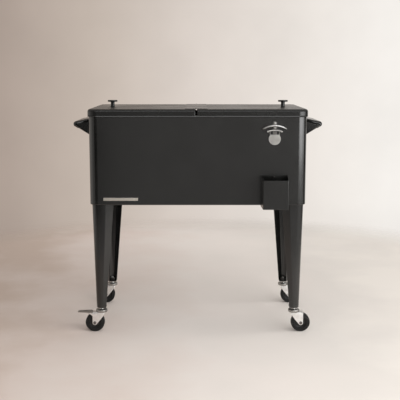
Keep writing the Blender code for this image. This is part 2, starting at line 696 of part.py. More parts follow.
def hinge_leaf(name, side, parent, axis):
    """Half of the continuous hinge: a leaf on the lid with every other knuckle of the barrel."""
    pitch = HINGE_LENGTH / KNUCKLE_COUNT
    start = -HINGE_LENGTH / 2
    own = 0 if side > 0 else 1
    joined_edge = (KNUCKLE_RADIUS + KNUCKLE_BORE) / 2
    cleared_edge = KNUCKLE_RADIUS + 2 * SEAT_GAP
    edge = []
    knuckles = []
    for number in range(KNUCKLE_COUNT):
        low = start + number * pitch
        high = low + pitch
        if number % 2 == own:
            low += SEAT_GAP / 2
            high -= SEAT_GAP / 2
            edge += [(joined_edge, low), (joined_edge, high)]
            profile = ((KNUCKLE_RADIUS, high), (KNUCKLE_RADIUS, low), (KNUCKLE_BORE, low), (KNUCKLE_BORE, high))
            knuckles.append(level_round(profile, KNUCKLE_SIDES, SEAM_X, HINGE_HEIGHT, closed=True))
        else:
            low -= SEAT_GAP / 2 if number else 0
            high += SEAT_GAP / 2 if number < KNUCKLE_COUNT - 1 else 0
            edge += [(cleared_edge, low), (cleared_edge, high)]
    outline = [(LEAF_REACH, -start), *reversed(edge), (LEAF_REACH, start)]
    outline = [(SEAM_X + side * x, y) for x, y in outline]
    if side < 0:
        outline.reverse()
    made = piece(name, level_prism(outline, LEAF_BOTTOM, HINGE_HEIGHT), BLACK_POWDER_COAT, parent, axis)
    shaped_by(made, merged(knuckles), "UNION")


def lids(parent):
    """Both lid halves and the hinge that joins them, hung on the hinge axis."""
    axis = (SEAM_X, 0, HINGE_HEIGHT)
    for word, side in (("left", -1), ("right", 1)):
        lid_half(word, side, parent, axis)
        hinge_leaf(word + "_hinge_leaf", side, parent, axis)
    half = HINGE_LENGTH / 2
    pin = level_round(((PIN_RADIUS, half), (PIN_RADIUS, -half)), KNUCKLE_SIDES, SEAM_X, HINGE_HEIGHT)
    piece("lid_hinge_pin", pin, BRIGHT_STEEL, parent, axis)


def front_screw(name, height, seat, parent):
    """Pan head screw in the front wall; its head lies at a seat in front of the wall."""
    profile = (
        (SCREW_RADIUS, -SCREW_LENGTH),
        (SCREW_RADIUS, seat),
        (SCREW_HEAD_RADIUS, seat),
        (SCREW_HEAD_RADIUS, seat + SCREW_HEAD_HEIGHT / 2),
        (SCREW_RADIUS, seat + SCREW_HEAD_HEIGHT),
    )
    place = empty(name + "_place", (FITTING_X, FRONT, height), parent)
    piece(name, turned(profile, SCREW_SIDES), ZINC_PLATE, place, rotation=(math.pi / 2, 0, 0))


def arch(top, half_span, thickness, depth_at):
    """A bar along X that falls away on both sides of its middle; depth_at gives how far it stands out at each x."""
    back = FRONT - SEAT_GAP
    rings = []
    for step in range(ARC_STEPS + 1):
        x = half_span * (2 * step / ARC_STEPS - 1)
        high = top - HOOD_RADIUS + math.sqrt(HOOD_RADIUS**2 - x**2)
        low = high - thickness
        front = back - depth_at(x)
        place = FITTING_X + x
        rings.append([(place, front, low), (place, back, low), (place, back, high), (place, front, high)])
    return loft(rings)


def bottle_opener(parent):
    """Wall opener cast in one: round plate, neck with screw lug, toothed lip and arched hood."""
    back = FRONT - SEAT_GAP
    flat = math.asin((OPENER_DISC_TOP - OPENER_DISC_HEIGHT) / OPENER_DISC_RADIUS)
    disc_centre = (FITTING_X, OPENER_DISC_HEIGHT)
    disc = arc(disc_centre, OPENER_DISC_RADIUS, math.pi - flat, math.tau + flat, ARC_STEPS)
    made = piece("bottle_opener", upright_prism(disc, back, back - OPENER_DISC_PROUD), CAST_ZINC, parent)

    half_neck = OPENER_NECK_WIDTH / 2
    lug = arc((FITTING_X, OPENER_LUG_HEIGHT), OPENER_LUG_RADIUS, 0, math.pi, HOLE_STEPS)
    foot = (FITTING_X - half_neck, OPENER_DISC_HEIGHT), (FITTING_X + half_neck, OPENER_DISC_HEIGHT)
    shaped_by(made, upright_prism([*foot, *lug], back, back - OPENER_PLATE), "UNION")

    lip_middle = LIP_TOP - LIP_THICKNESS / 2
    rib_x = OPENER_DISC_RADIUS - OPENER_RIB_WIDTH
    for side in (-1, 1):
        left = FITTING_X + side * rib_x - OPENER_RIB_WIDTH / 2
        right = left + OPENER_RIB_WIDTH
        drop = HOOD_RADIUS - math.sqrt(HOOD_RADIUS**2 - rib_x**2)
        low = OPENER_DISC_HEIGHT
        high = lip_middle - drop
        outline = ((left, low), (right, low), (right, high), (left, high))
        front = back - OPENER_PLATE - OPENER_RIB_WIDTH * OPENER_RIB_RISE_SHARE
        shaped_by(made, upright_prism(outline, back, front), "UNION")
        tooth_x = FITTING_X + side * (LIP_HALF_SPAN - TOOTH_WIDTH * TOOTH_INSET_SHARE)
        tooth = (tooth_x - TOOTH_WIDTH / 2, tooth_x + TOOTH_WIDTH / 2)
        low = LIP_TOP - LIP_THICKNESS - TOOTH_DROP
        high = LIP_TOP - LIP_THICKNESS - drop
        outline = ((tooth[0], low), (tooth[1], low), (tooth[1], high), (tooth[0], high))
        front = back - LIP_PROUD * TOOTH_REACH_SHARE
        shaped_by(made, upright_prism(outline, front + LIP_THICKNESS, front), "UNION")

    def hood_depth(x):
        return HOOD_THICKNESS + (HOOD_PROUD - HOOD_THICKNESS) * math.sqrt(1 - (x / HOOD_HALF_SPAN) ** 2)

    shaped_by(made, arch(LIP_TOP, LIP_HALF_SPAN, LIP_THICKNESS, lambda x: LIP_PROUD), "UNION")
    shaped_by(made, arch(HOOD_TOP, HOOD_HALF_SPAN, HOOD_THICKNESS, hood_depth), "UNION")
    shaped_by(made, front_screw_holes(FRONT + CUT_OVERRUN), "DIFFERENCE")


def catcher_ring(inset, back_height, front_height):
    """Outline of the catcher: square at the wall, a little narrower in front, its rim falling forwards."""
    back = FRONT - SEAT_GAP - inset
    front = FRONT - SEAT_GAP - CATCHER_DEPTH + inset
    half_back = CATCHER_BACK_WIDTH / 2 - inset
    half_front = CATCHER_FRONT_WIDTH / 2 - inset
    return [
        (FITTING_X - half_front, front, front_height),
        (FITTING_X + half_front, front, front_height),
        (FITTING_X + half_back, back, back_height),
        (FITTING_X - half_back, back, back_height),
    ]


def keyhole():
    """A slot that fits the screw, opening into a round hole below it that passes the screw's head."""
    slot = SCREW_RADIUS + SEAT_GAP
    lean = math.asin(slot / KEYHOLE_RADIUS)
    top = arc((FITTING_X, CATCHER_SCREW_HEIGHT), slot, 0, math.pi, HOLE_STEPS)
    hole_centre = (FITTING_X, CATCHER_SCREW_HEIGHT - KEYHOLE_DROP)
    hole = arc(hole_centre, KEYHOLE_RADIUS, math.pi / 2 + lean, math.tau + math.pi / 2 - lean, ARC_STEPS)
    return upright_prism([*top, *hole], FRONT + CUT_OVERRUN, FRONT - CATCHER_SHEET - CUT_OVERRUN)


def cap_catcher(parent):
    """Bent and welded steel box, open on top, that hangs on its screw."""
    floor = CATCHER_BOTTOM + CATCHER_SHEET
    rings = [
        catcher_ring(0, CATCHER_BOTTOM, CATCHER_BOTTOM),
        catcher_ring(0, CATCHER_BACK_TOP, CATCHER_FRONT_TOP),
        catcher_ring(CATCHER_SHEET, CATCHER_BACK_TOP, CATCHER_FRONT_TOP),
        catcher_ring(CATCHER_SHEET, floor, floor),
    ]
    made = piece("cap_catcher", loft(rings), BLACK_POWDER_COAT, parent)
    shaped_by(made, keyhole(), "DIFFERENCE")


def hexagon(radius):
    return [(radius * math.cos(math.tau * side / 6), radius * math.sin(math.tau * side / 6)) for side in range(6)]


def nut(name, radius, bore, low, height, finish, parent, rotation=(0, 0, 0)):
    """Hexagon nut on the parent's axis."""
    made = piece(name, level_prism(hexagon(radius), low, low + height), finish, parent, rotation=rotation)
    hole = rod(bore, low - CUT_OVERRUN, low + height + CUT_OVERRUN, TURNED_SIDES)
    shaped_by(made, hole, "DIFFERENCE", rotation)


def drain(parent):
    """Drain tube through the rear wall: flange in the tub, washer and nut outside, screw cap on its end."""
    place = empty("drain_place", (DRAIN_X, REAR, DRAIN_HEIGHT), parent)
    rearwards = (-math.pi / 2, 0, 0)
    bore = DRAIN_TUBE_RADIUS + SEAT_GAP
    washer_top = SEAT_GAP + DRAIN_WASHER_THICKNESS
    nut_low = washer_top + SEAT_GAP
    cap_low = nut_low + DRAIN_NUT_HEIGHT + SEAT_GAP
    cap_top = cap_low + DRAIN_CAP_HEIGHT
    ceiling = cap_top - DRAIN_CAP_WALL
    flange = -WALL_THICKNESS - SEAT_GAP
    spout = (
        (DRAIN_BORE, flange - DRAIN_FLANGE_THICKNESS),
        (DRAIN_FLANGE_RADIUS, flange - DRAIN_FLANGE_THICKNESS),
        (DRAIN_FLANGE_RADIUS, flange),
        (DRAIN_TUBE_RADIUS, flange),
        (DRAIN_TUBE_RADIUS, ceiling - SEAT_GAP),
        (DRAIN_BORE, ceiling - SEAT_GAP),
    )
    piece("drain_spout", turned(spout, TURNED_SIDES, closed=True), WHITE_PLASTIC, place, rotation=rearwards)
    washer = (
        (DRAIN_WASHER_RADIUS, SEAT_GAP),
        (DRAIN_WASHER_RADIUS, washer_top),
        (bore, washer_top),
        (bore, SEAT_GAP),
    )
    piece("drain_washer", turned(washer, TURNED_SIDES, closed=True), BLACK_RUBBER, place, rotation=rearwards)
    nut("drain_nut", DRAIN_NUT_RADIUS, bore, nut_low, DRAIN_NUT_HEIGHT, BLACK_PLASTIC, place, rearwards)
    cap = (
        (bore, ceiling),
        (bore, cap_low),
        (bore + DRAIN_CAP_WALL, cap_low),
        (bore + DRAIN_CAP_WALL, cap_top),
    )
    piece("drain_cap", turned(cap, TURNED_SIDES), BLACK_PLASTIC, place, rotation=rearwards)


def caster_stem(name, parent):
    """Threaded stem with a neck, the upper bearing race and the kingpin that holds the fork."""
    foot = LEG_FOOT + FOOT_PLATE_RECESS
    head_top = CROWN_BOTTOM - SEAT_GAP
    profile = (
        (KINGPIN_HEAD_RADIUS, KINGPIN_BOTTOM),
        (KINGPIN_HEAD_RADIUS, head_top),
        (KINGPIN_RADIUS, head_top),
        (KINGPIN_RADIUS, RACE_SPLIT),
        (RACE_RADIUS, RACE_SPLIT),
        (RACE_RADIUS, RACE_TOP - RACE_EDGE),
        (RACE_RADIUS - RACE_EDGE, RACE_TOP),
        (STEM_NECK_RADIUS, RACE_TOP),
        (STEM_NECK_RADIUS, foot - SEAT_GAP),
        (STEM_THREAD_RADIUS, foot - SEAT_GAP),
        (STEM_THREAD_RADIUS, STEM_TOP),
    )
    piece(name + "_stem", turned(profile, TURNED_SIDES), ZINC_PLATE, parent)
    nut_low = foot + FOOT_PLATE + SEAT_GAP
    bore = STEM_THREAD_RADIUS + SEAT_GAP
    nut(name + "_stem_nut", STEM_NUT_RADIUS, bore, nut_low, STEM_NUT_HEIGHT, ZINC_PLATE, parent)


def caster_fork(name, parent):
    """Pressed fork: crown plate with the lower race, and a cheek on each side of the wheel."""
    half_gap = FORK_GAP / 2
    cheek = arc((TRAIL, WHEEL_RADIUS), FORK_END_RADIUS, FORK_SLANT_START, math.tau, HOLE_STEPS)
    crown_middle = CROWN_BOTTOM + FORK_SHEET / 2
    cheek += [(FORK_BACK, crown_middle), (-FORK_NOSE, crown_middle), (FORK_KNEE, FORK_KNEE_HEIGHT)]
    bend = FORK_SHEET * FORK_BEND_SHARE
    edge = half_gap + FORK_SHEET - bend
    nose = bend - FORK_NOSE
    back_edge = FORK_BACK - bend
    plate = ((nose, -edge), (back_edge, -edge), (back_edge, edge), (nose, edge))
    crown = level_prism(plate, CROWN_BOTTOM, CROWN_BOTTOM + FORK_SHEET)
    made = piece(name + "_fork", crown, ZINC_PLATE, parent)
    for back in (half_gap + FORK_SHEET, -half_gap):
        shaped_by(made, upright_prism(cheek, back, back - FORK_SHEET), "UNION")
    race = rod(RACE_RADIUS, crown_middle, RACE_SPLIT - SEAT_GAP, TURNED_SIDES)
    shaped_by(made, race, "UNION")
    kingpin = rod(KINGPIN_RADIUS + SEAT_GAP, CROWN_BOTTOM - CUT_OVERRUN, RACE_SPLIT + CUT_OVERRUN, TURNED_SIDES)
    shaped_by(made, kingpin, "DIFFERENCE")
    reach = half_gap + FORK_SHEET + CUT_OVERRUN
    bore = AXLE_RADIUS + SEAT_GAP
    axle_hole = level_round(((bore, reach), (bore, -reach)), TURNED_SIDES, TRAIL, WHEEL_RADIUS)
    shaped_by(made, axle_hole, "DIFFERENCE")


def caster_wheel(name, parent):
    """Axle, moulded hub and rubber tyre, all about the axle's line."""
    axle_place = empty(name + "_axle_place", (TRAIL, 0, WHEEL_RADIUS), parent)
    level = (math.pi / 2, 0, 0)
    seat = FORK_GAP / 2 + FORK_SHEET + SEAT_GAP
    end = seat + AXLE_HEAD_HEIGHT
    axle = (
        (AXLE_HEAD_RADIUS, -end),
        (AXLE_HEAD_RADIUS, -seat),
        (AXLE_RADIUS, -seat),
        (AXLE_RADIUS, seat),
        (AXLE_HEAD_RADIUS, seat),
        (AXLE_HEAD_RADIUS, end),
    )
    piece(name + "_axle", turned(axle, TURNED_SIDES), ZINC_PLATE, axle_place, rotation=level)
    flat_share = 1 / math.cos(math.pi / WHEEL_SIDES)
    boss = FORK_GAP / 2 - SEAT_GAP
    web = HUB_WEB_WIDTH / 2
    rim = WHEEL_WIDTH / 2 - TYRE_SHOULDER / 2
    outer = (TYRE_INNER_RADIUS - SEAT_GAP) * flat_share
    bore = (AXLE_RADIUS + SEAT_GAP) * flat_share
    half_hub = (
        (HUB_BOSS_RADIUS, boss),
        (HUB_BOSS_RADIUS, web),
        (HUB_RIM_INNER_RADIUS, web),
        (HUB_RIM_INNER_RADIUS, rim),
    )
    hub = [(bore, -boss)] + [(radius, -height) for radius, height in half_hub]
    hub += [(outer, -rim), (outer, rim)] + list(reversed(half_hub)) + [(bore, boss)]
    piece(name + "_hub", turned(hub, WHEEL_SIDES, closed=True), BLACK_PLASTIC, axle_place, rotation=level)
    tread = WHEEL_RADIUS * flat_share
    side = WHEEL_WIDTH / 2
    tyre = (
        (TYRE_INNER_RADIUS * flat_share, -side),
        (tread - TYRE_SHOULDER, -side),
        (tread, -side + TYRE_SHOULDER),
        (tread, side - TYRE_SHOULDER),
        (tread - TYRE_SHOULDER, side),
        (TYRE_INNER_RADIUS * flat_share, side),
    )
    piece(name + "_tyre", turned(tyre, WHEEL_SIDES, closed=True), BLACK_RUBBER, axle_place, rotation=level)


def brake_lever(parent):
    """Pressed pedal on two ears outside the fork; pushed down, it bears on the tyre."""
    pivot = (BRAKE_PIVOT_TRAIL, 0, BRAKE_PIVOT_HEIGHT)
    ear_inner = FORK_GAP / 2 + FORK_SHEET + SEAT_GAP
    ear_outer = ear_inner + BRAKE_SHEET
    pedal_low = BRAKE_PEDAL_TOP - BRAKE_SHEET
    pedal_edge = ear_outer - BRAKE_SHEET * BRAKE_BEND_SHARE
    half_tip = BRAKE_TIP_WIDTH / 2
    pedal = (
        (BRAKE_PEDAL_START, -pedal_edge),
        (BRAKE_PEDAL_START + BRAKE_PEDAL_SHOULDER, -pedal_edge),
        (BRAKE_REACH - BRAKE_TIP_CORNER, -half_tip),
        (BRAKE_REACH, BRAKE_TIP_CORNER - half_tip),
        (BRAKE_REACH, half_tip - BRAKE_TIP_CORNER),
        (BRAKE_REACH - BRAKE_TIP_CORNER, half_tip),
        (BRAKE_PEDAL_START + BRAKE_PEDAL_SHOULDER, pedal_edge),
        (BRAKE_PEDAL_START, pedal_edge),
    )
    made = piece("brake_lever", level_prism(pedal, pedal_low, BRAKE_PEDAL_TOP), ZINC_PLATE, parent, pivot)
    ear_end = BRAKE_PEDAL_START + 2 * BRAKE_EAR_RADIUS
    ear_top = pedal_low + BRAKE_SHEET / 2
    ear_start = BRAKE_EAR_SLANT + math.pi / 2
    ear = arc((BRAKE_PIVOT_TRAIL, BRAKE_PIVOT_HEIGHT), BRAKE_EAR_RADIUS, ear_start, ear_start + math.pi, HOLE_STEPS)
    ear += [(ear_end, pedal_low), (ear_end, ear_top), (BRAKE_PEDAL_START, ear_top)]
    for back in (ear_outer, -ear_inner):
        shaped_by(made, upright_prism(ear, back, back - BRAKE_SHEET), "UNION")


def casters(parent):
    """A leg and a caster at each corner; the wheels trail outwards."""
    for row, end in (("front", -1), ("rear", 1)):
        for word, side in (("left", -1), ("right", 1)):
            corner = row + "_" + word
            leg(corner + "_leg", side, end, parent)
            place = (side * CASTER_X, end * CASTER_Y, 0)
            swivel = empty(corner + "_swivel", place, parent, 0 if side > 0 else math.pi)
            caster_stem(corner, swivel)
            caster_fork(corner, swivel)
            caster_wheel(corner, swivel)
            if corner == "front_left":
                brake_lever(swivel)


def cooler():
    clear_scene()
    whole = empty("rolling_patio_cooler", (0, CENTRING, 0))
    outer_casing(whole)
    base_pan(whole)
    foam_insulation(whole)
    inner_liner(whole)
    name_plate(whole)
    side_handle("left_side_handle", -1, whole)
    side_handle("right_side_handle", 1, whole)
    lids(whole)
    bottle_opener(whole)
    opener_seat = SEAT_GAP + OPENER_PLATE + SEAT_GAP
    front_screw("opener_top_screw", OPENER_LUG_HEIGHT, opener_seat, whole)
    front_screw("opener_lower_screw", OPENER_LUG_HEIGHT - OPENER_SCREW_DROP, opener_seat, whole)
    cap_catcher(whole)
    front_screw("catcher_screw", CATCHER_SCREW_HEIGHT, SEAT_GAP + CATCHER_SHEET + SEAT_GAP, whole)
    drain(whole)
    casters(whole)


cooler()
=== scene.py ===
"""Dresses a rolling patio cooler: black powder coated steel box, two lid halves, tapered legs and swivel casters."""

import math

import bmesh
import bpy
import numpy as np
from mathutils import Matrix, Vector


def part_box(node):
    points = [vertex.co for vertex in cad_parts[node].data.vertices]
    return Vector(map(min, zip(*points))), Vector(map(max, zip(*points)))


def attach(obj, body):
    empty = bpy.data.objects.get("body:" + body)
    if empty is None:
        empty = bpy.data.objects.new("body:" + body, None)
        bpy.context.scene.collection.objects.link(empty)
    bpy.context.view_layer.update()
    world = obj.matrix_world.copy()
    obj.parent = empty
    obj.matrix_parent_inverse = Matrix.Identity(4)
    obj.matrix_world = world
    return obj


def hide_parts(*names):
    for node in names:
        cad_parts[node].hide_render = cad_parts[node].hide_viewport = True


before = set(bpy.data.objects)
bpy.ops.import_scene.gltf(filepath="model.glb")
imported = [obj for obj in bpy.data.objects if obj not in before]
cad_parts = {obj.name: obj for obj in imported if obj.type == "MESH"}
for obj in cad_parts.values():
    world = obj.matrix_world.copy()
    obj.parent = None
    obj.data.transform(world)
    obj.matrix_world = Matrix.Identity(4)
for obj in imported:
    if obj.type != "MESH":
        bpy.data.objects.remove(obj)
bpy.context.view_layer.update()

# Cabinet: one sheet steel wrap, folded at four rounded corners, beaded along its top and hemmed below.
# It is black powder coated after welding, so every fold and edge is soft and covered.


def box(node):
    """The low and the high corner of a CAD node, as arrays."""
    return [np.array(corner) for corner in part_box(node)]


casing_low, casing_high = box("outer_casing")
MIDDLE_Y = (casing_low[1] + casing_high[1]) / 2
BEAD_PROUD = 0.0030
SIDE = casing_high[0] - BEAD_PROUD
REAR = (casing_high[1] - casing_low[1]) / 2 - BEAD_PROUD
CASING_BOTTOM = casing_low[2]
CASING_TOP = casing_high[2]
CASING_RADIUS = 0.028
SHEET = 0.0012
EDGE = 0.0003
BEAD_HEIGHT = 0.0036
BEAD_REACH = 0.0050
BEAD_SLOPE = 0.0013
BEAD_FOOT = 0.0005
HEM_RADIUS = 0.0028
HEM_WIDTH = 0.0034
GAP = 0.0003
POWDER_BLACK = "#0f0f0e"
POWDER_GREY = "#161615"
CLOUD_SIZE = 0.09
SPECK_SIZE = 0.0011
PEEL_DEPTH = 0.000012


def colour(code):
    """An sRGB hex colour as linear red, green, blue and alpha: each share s becomes ((s + 0.055) / 1.055) ^ 2.4."""
    shares = np.array([int(code[start : start + 2], 16) for start in (1, 3, 5)]) / 255
    linear = np.where(shares <= 0.04045, shares / 12.92, ((shares + 0.055) / 1.055) ** 2.4)
    return (*linear.tolist(), 1.0)


def add(owner, kind, settings=()):
    """Adds one node to a material or world, with its settings and links.

    A setting is a property, a socket's value, a node or output to link to that socket, or the stops of a colour ramp.
    """
    node = owner.node_tree.nodes.new("ShaderNode" + kind)
    for name, value in dict(settings).items():
        if isinstance(value, bpy.types.Node):
            value = value.outputs[0]
        if name == "stops":
            elements = node.color_ramp.elements
            for number, (position, tone) in enumerate(value):
                element = elements[number] if number < 2 else elements.new(position)
                element.position = position
                element.color = colour(tone) if isinstance(tone, str) else (tone, tone, tone, 1)
        elif isinstance(value, bpy.types.NodeSocket):
            owner.node_tree.links.new(value, node.inputs[name])
        elif isinstance(name, str) and hasattr(node, name):
            setattr(node, name, value)
        else:
            node.inputs[name].default_value = value
    return node


def blank(name):
    """A material without nodes but for the object coordinates that place its patterns, and those coordinates."""
    material = bpy.data.materials.new(name)
    material.use_nodes = True
    material.node_tree.nodes.clear()
    return material, add(material, "TexCoord").outputs["Object"]


def shaded(material, settings):
    """The material with its principled shader on the output."""
    add(material, "OutputMaterial", {"Surface": add(material, "BsdfPrincipled", settings)})
    return material


def powder_coat(name, dark, light, roughness, index=1.65):
    """Polyester powder coat: baked on as melted dust, so it is satin, slightly orange-peeled and finely speckled."""
    material, place = blank(name)
    broad = add(material, "TexNoise", {"Vector": place, "Scale": 1 / CLOUD_SIZE, "Detail": 3})
    fine = add(material, "TexNoise", {"Vector": place, "Scale": 1 / SPECK_SIZE, "Detail": 1})
    mixed = add(material, "Math", {"operation": "MULTIPLY", 0: broad, 1: fine})
    tint = add(material, "ValToRGB", {"Fac": mixed, "stops": [(0.15, dark), (0.40, light)]})
    gloss = add(material, "ValToRGB", {"Fac": broad, "stops": [(0.35, roughness - 0.02), (0.65, roughness + 0.04)]})
    peel = add(material, "Bump", {"Height": fine, "Distance": PEEL_DEPTH})
    return shaded(material, {"Base Color": tint, "Roughness": gloss, "Normal": peel, "IOR": index})


def rounded_outline(left, right, front, back, left_radius, right_radius, steps=14, hold=0.0015):
    """(x, y) points of a rectangle with quarter-circle corners, counter-clockwise from the right back corner.

    Each corner is centre + radius * (cos, sin) over a quarter turn, with one more point just before and after it,
    so that the flat sides stay flat under smooth shading.
    """
    turn = np.linspace(0, np.pi / 2, steps + 1)
    starts = np.arange(4)[:, None] * np.pi / 2
    angle = starts + turn
    radius = np.array([right_radius, left_radius, left_radius, right_radius])[:, None]
    x = np.array([right, left, left, right])[:, None] - np.array([1, -1, -1, 1])[:, None] * radius
    y = np.array([back, back, front, front])[:, None] - np.array([1, 1, -1, -1])[:, None] * radius
    points = np.stack([x + radius * np.cos(angle), y + radius * np.sin(angle)], axis=-1)
    along = np.stack([-np.sin(starts), np.cos(starts)], axis=-1)
    after = np.stack([-np.sin(starts + np.pi / 2), np.cos(starts + np.pi / 2)], axis=-1)
    before_point = points[:, :1] - hold * along
    after_point = points[:, -1:] + hold * after
    return np.concatenate([before_point, points, after_point], axis=1).reshape(-1, 2)


def cabinet_ring(inset, height, radius):
    """Level outline at an inset from the cabinet's sides: a rectangle with round corners, at a height."""
    outline = rounded_outline(inset - SIDE, SIDE - inset, inset - REAR, REAR - inset, radius, radius)
    return np.column_stack([outline, np.full(len(outline), height)])


def skin(rings, closed=False, sharp=40):
    """A mesh over a grid of points: rows of equal count, joined in order, each row closed on itself.

    The first and last rows are capped, or joined to each other when closed. Rows that run counter-clockwise as they
    climb make an outer face.
    """
    grid = np.asarray(rings, dtype=float)
    rows, count = grid.shape[:2]
    number = np.arange(rows * count).reshape(rows, count)
    if closed:
        number = np.vstack([number, number[:1]])
    low = number[:-1]
    high = number[1:]
    quads = np.stack([low, np.roll(low, -1, axis=1), np.roll(high, -1, axis=1), high], axis=-1)
    faces = quads.reshape(-1, 4).tolist()
    if not closed:
        faces.append(number[0, ::-1].tolist())
        faces.append(number[-1].tolist())
    mesh = bpy.data.meshes.new("skin")
    mesh.from_pydata((grid.reshape(-1, 3) + (0, MIDDLE_Y, 0)).tolist(), [], faces)
    mesh.shade_smooth()
    mesh.set_sharp_from_angle(angle=math.radians(sharp))
    return mesh


def show(name, mesh, material, body, node):
    """Puts a mesh in the scene as a piece that rides on a body and stands for a CAD node."""
    mesh.name = name
    mesh.materials.clear()
    mesh.materials.append(material)
    shown = bpy.data.objects.new(name, mesh)
    bpy.context.scene.collection.objects.link(shown)
    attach(shown, body)
    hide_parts(node)


def coat(node, material):
    """Gives a material to a CAD node that shows as it is."""
    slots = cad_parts[node].data.materials
    slots.clear()
    slots.append(material)


def quarter(radius, steps=8):
    """Inset and rise of a quarter circle, from its side to its top: radius * (1 - cos, sin)."""
    turn = np.linspace(0, np.pi / 2, steps + 1)
    return radius * (1 - np.cos(turn)), radius * np.sin(turn)


body_coat = powder_coat("black_powder_coat", POWDER_BLACK, POWDER_GREY, 0.20)
hem_inset, hem_rise = quarter(HEM_RADIUS)
bead_start = CASING_TOP - BEAD_HEIGHT
bead_face = BEAD_HEIGHT - BEAD_FOOT - EDGE
casing_rows = [
    (HEM_WIDTH, CASING_BOTTOM),
    *zip(hem_inset[::-1], CASING_BOTTOM + HEM_RADIUS - hem_rise[::-1]),
    (0, CASING_BOTTOM + HEM_RADIUS + SHEET),
    (0, bead_start - SHEET),
    (-BEAD_PROUD, bead_start),
    (EDGE - BEAD_REACH, bead_start),
    (-BEAD_REACH, bead_start + EDGE),
    *((BEAD_SLOPE * share - BEAD_REACH, bead_start + BEAD_FOOT + bead_face * share) for share in (0, 0.1, 0.9, 1)),
    (BEAD_SLOPE + EDGE - BEAD_REACH, CASING_TOP),
    (SHEET, CASING_TOP),
    (SHEET, CASING_BOTTOM + HEM_RADIUS),
    (HEM_RADIUS, CASING_BOTTOM + SHEET),
    (HEM_WIDTH, CASING_BOTTOM + SHEET),
]
casing_rings = [cabinet_ring(inset, height, CASING_RADIUS - inset) for inset, height in casing_rows]
show("cabinet_wrap", skin(casing_rings, closed=True), body_coat, "cooler", "outer_casing")
coat("base_pan", body_coat)

# Tub and insulation: a white ABS tub, vacuum formed, drops into the cabinet.
# Polyurethane foam is poured behind it, which holds it and keeps the cold in.
tub_low, tub_high = box("inner_liner")
WALL = 0.026
TUB_SHEET = 0.0015
TUB_RADIUS = 0.030
TUB_FLOOR_RADIUS = 0.015
TUB_LIP_RADIUS = 0.002
TUB_FLOOR = tub_low[2] + TUB_SHEET
TUB_WHITE = "#e4e3de"
TUB_SHADE = "#d9d8d2"
FOAM_CREAM = "#e3d7b0"
FOAM_CELL = "#cdbd8d"


def mottled(name, dark, light, settings, size, depth, fine=0, detail=2, ends=(0, 1), kind="TexNoise", along=(1, 1, 1)):
    """A material tinted between two colours by a pattern of a size, and bumped to a depth, both in metres.

    The bumps follow the pattern, or a finer one where its size is given. The pattern may be drawn out along an axis.
    """
    material, place = blank(name)
    place = add(material, "Mapping", {"Vector": place, "Scale": [1 / share for share in along]})
    pattern = add(material, kind, {"Vector": place, "Scale": 1 / size, "Detail": detail})
    relief = add(material, "TexNoise", {"Vector": place, "Scale": 1 / fine}) if fine else pattern
    tint = add(material, "ValToRGB", {"Fac": pattern, "stops": list(zip(ends, (dark, light)))})
    bumps = add(material, "Bump", {"Height": relief, "Distance": depth})
    return shaded(material, {"Base Color": tint, "Normal": bumps, **settings})


# Vacuum formed ABS: even, a little waxy, with the faintest mottle where the sheet was drawn thinner.
tub_white = mottled("white_abs", TUB_SHADE, TUB_WHITE, {"Roughness": 0.33, "IOR": 1.54}, size=0.06, depth=0.00003,
                    fine=0.0016, detail=4, ends=(0.3, 0.7))
tub_inset, tub_rise = quarter(TUB_FLOOR_RADIUS)
tub_outer = WALL - TUB_SHEET
lip_inset, lip_rise = quarter(TUB_LIP_RADIUS, 4)
tub_rows = [
    (tub_outer + TUB_FLOOR_RADIUS, tub_low[2], TUB_RADIUS + TUB_SHEET - TUB_FLOOR_RADIUS),
    (tub_outer, tub_low[2] + TUB_FLOOR_RADIUS, TUB_RADIUS + TUB_SHEET),
    (tub_outer, tub_high[2] - TUB_SHEET, TUB_RADIUS + TUB_SHEET),
    (SHEET + GAP, tub_high[2] - TUB_SHEET, CASING_RADIUS - SHEET - GAP),
    (SHEET + GAP, tub_high[2], CASING_RADIUS - SHEET - GAP),
    *((WALL - drop, tub_high[2] - TUB_LIP_RADIUS + rise, TUB_RADIUS + drop)
      for drop, rise in zip(lip_inset[::-1], lip_rise[::-1])),
    (WALL, tub_high[2] - 2 * TUB_LIP_RADIUS, TUB_RADIUS),
    (WALL, TUB_FLOOR + TUB_FLOOR_RADIUS + TUB_LIP_RADIUS, TUB_RADIUS),
    *((WALL + inset, TUB_FLOOR + TUB_FLOOR_RADIUS - rise, TUB_RADIUS - inset)
      for inset, rise in zip(tub_inset, tub_rise)),
    (WALL + TUB_FLOOR_RADIUS + TUB_LIP_RADIUS, TUB_FLOOR, TUB_RADIUS - TUB_FLOOR_RADIUS - TUB_LIP_RADIUS),
]
tub_rings = [cabinet_ring(inset, height, radius) for inset, height, radius in tub_rows]
show("tub", skin(tub_rings), tub_white, "cooler", "inner_liner")

# Poured foam: dull cream, with cells that are darker at their middles.
foam = mottled("polyurethane_foam", FOAM_CELL, FOAM_CREAM, {"Roughness": 0.9}, size=0.004, depth=0.0004, detail=0,
               ends=(0, 0.5), kind="TexVoronoi")
for node in ("foam_insulation", "left_lid_foam", "right_lid_foam"):
    coat(node, foam)

# Name plate: a strip of brushed stainless steel, stuck on low at the left.
# It is left bare, where the real one is lettered.
plate_low, plate_high = box("name_plate")
PLATE_CORNER = 0.0008
PLATE_SHEET = 0.0008
PLATE_STEEL = "#fffaf0"
PLATE_SHADE = "#e9e3d8"
BRUSH_LINE = 0.0005


def brushed(name, light, shade, roughness, along):
    """Brushed steel: fine parallel scratches that stretch the light across them."""
    return mottled(name, shade, light, {"Roughness": roughness, "Metallic": 1.0}, size=BRUSH_LINE, depth=0.00002,
                   detail=4, ends=(0.3, 0.7), along=along)


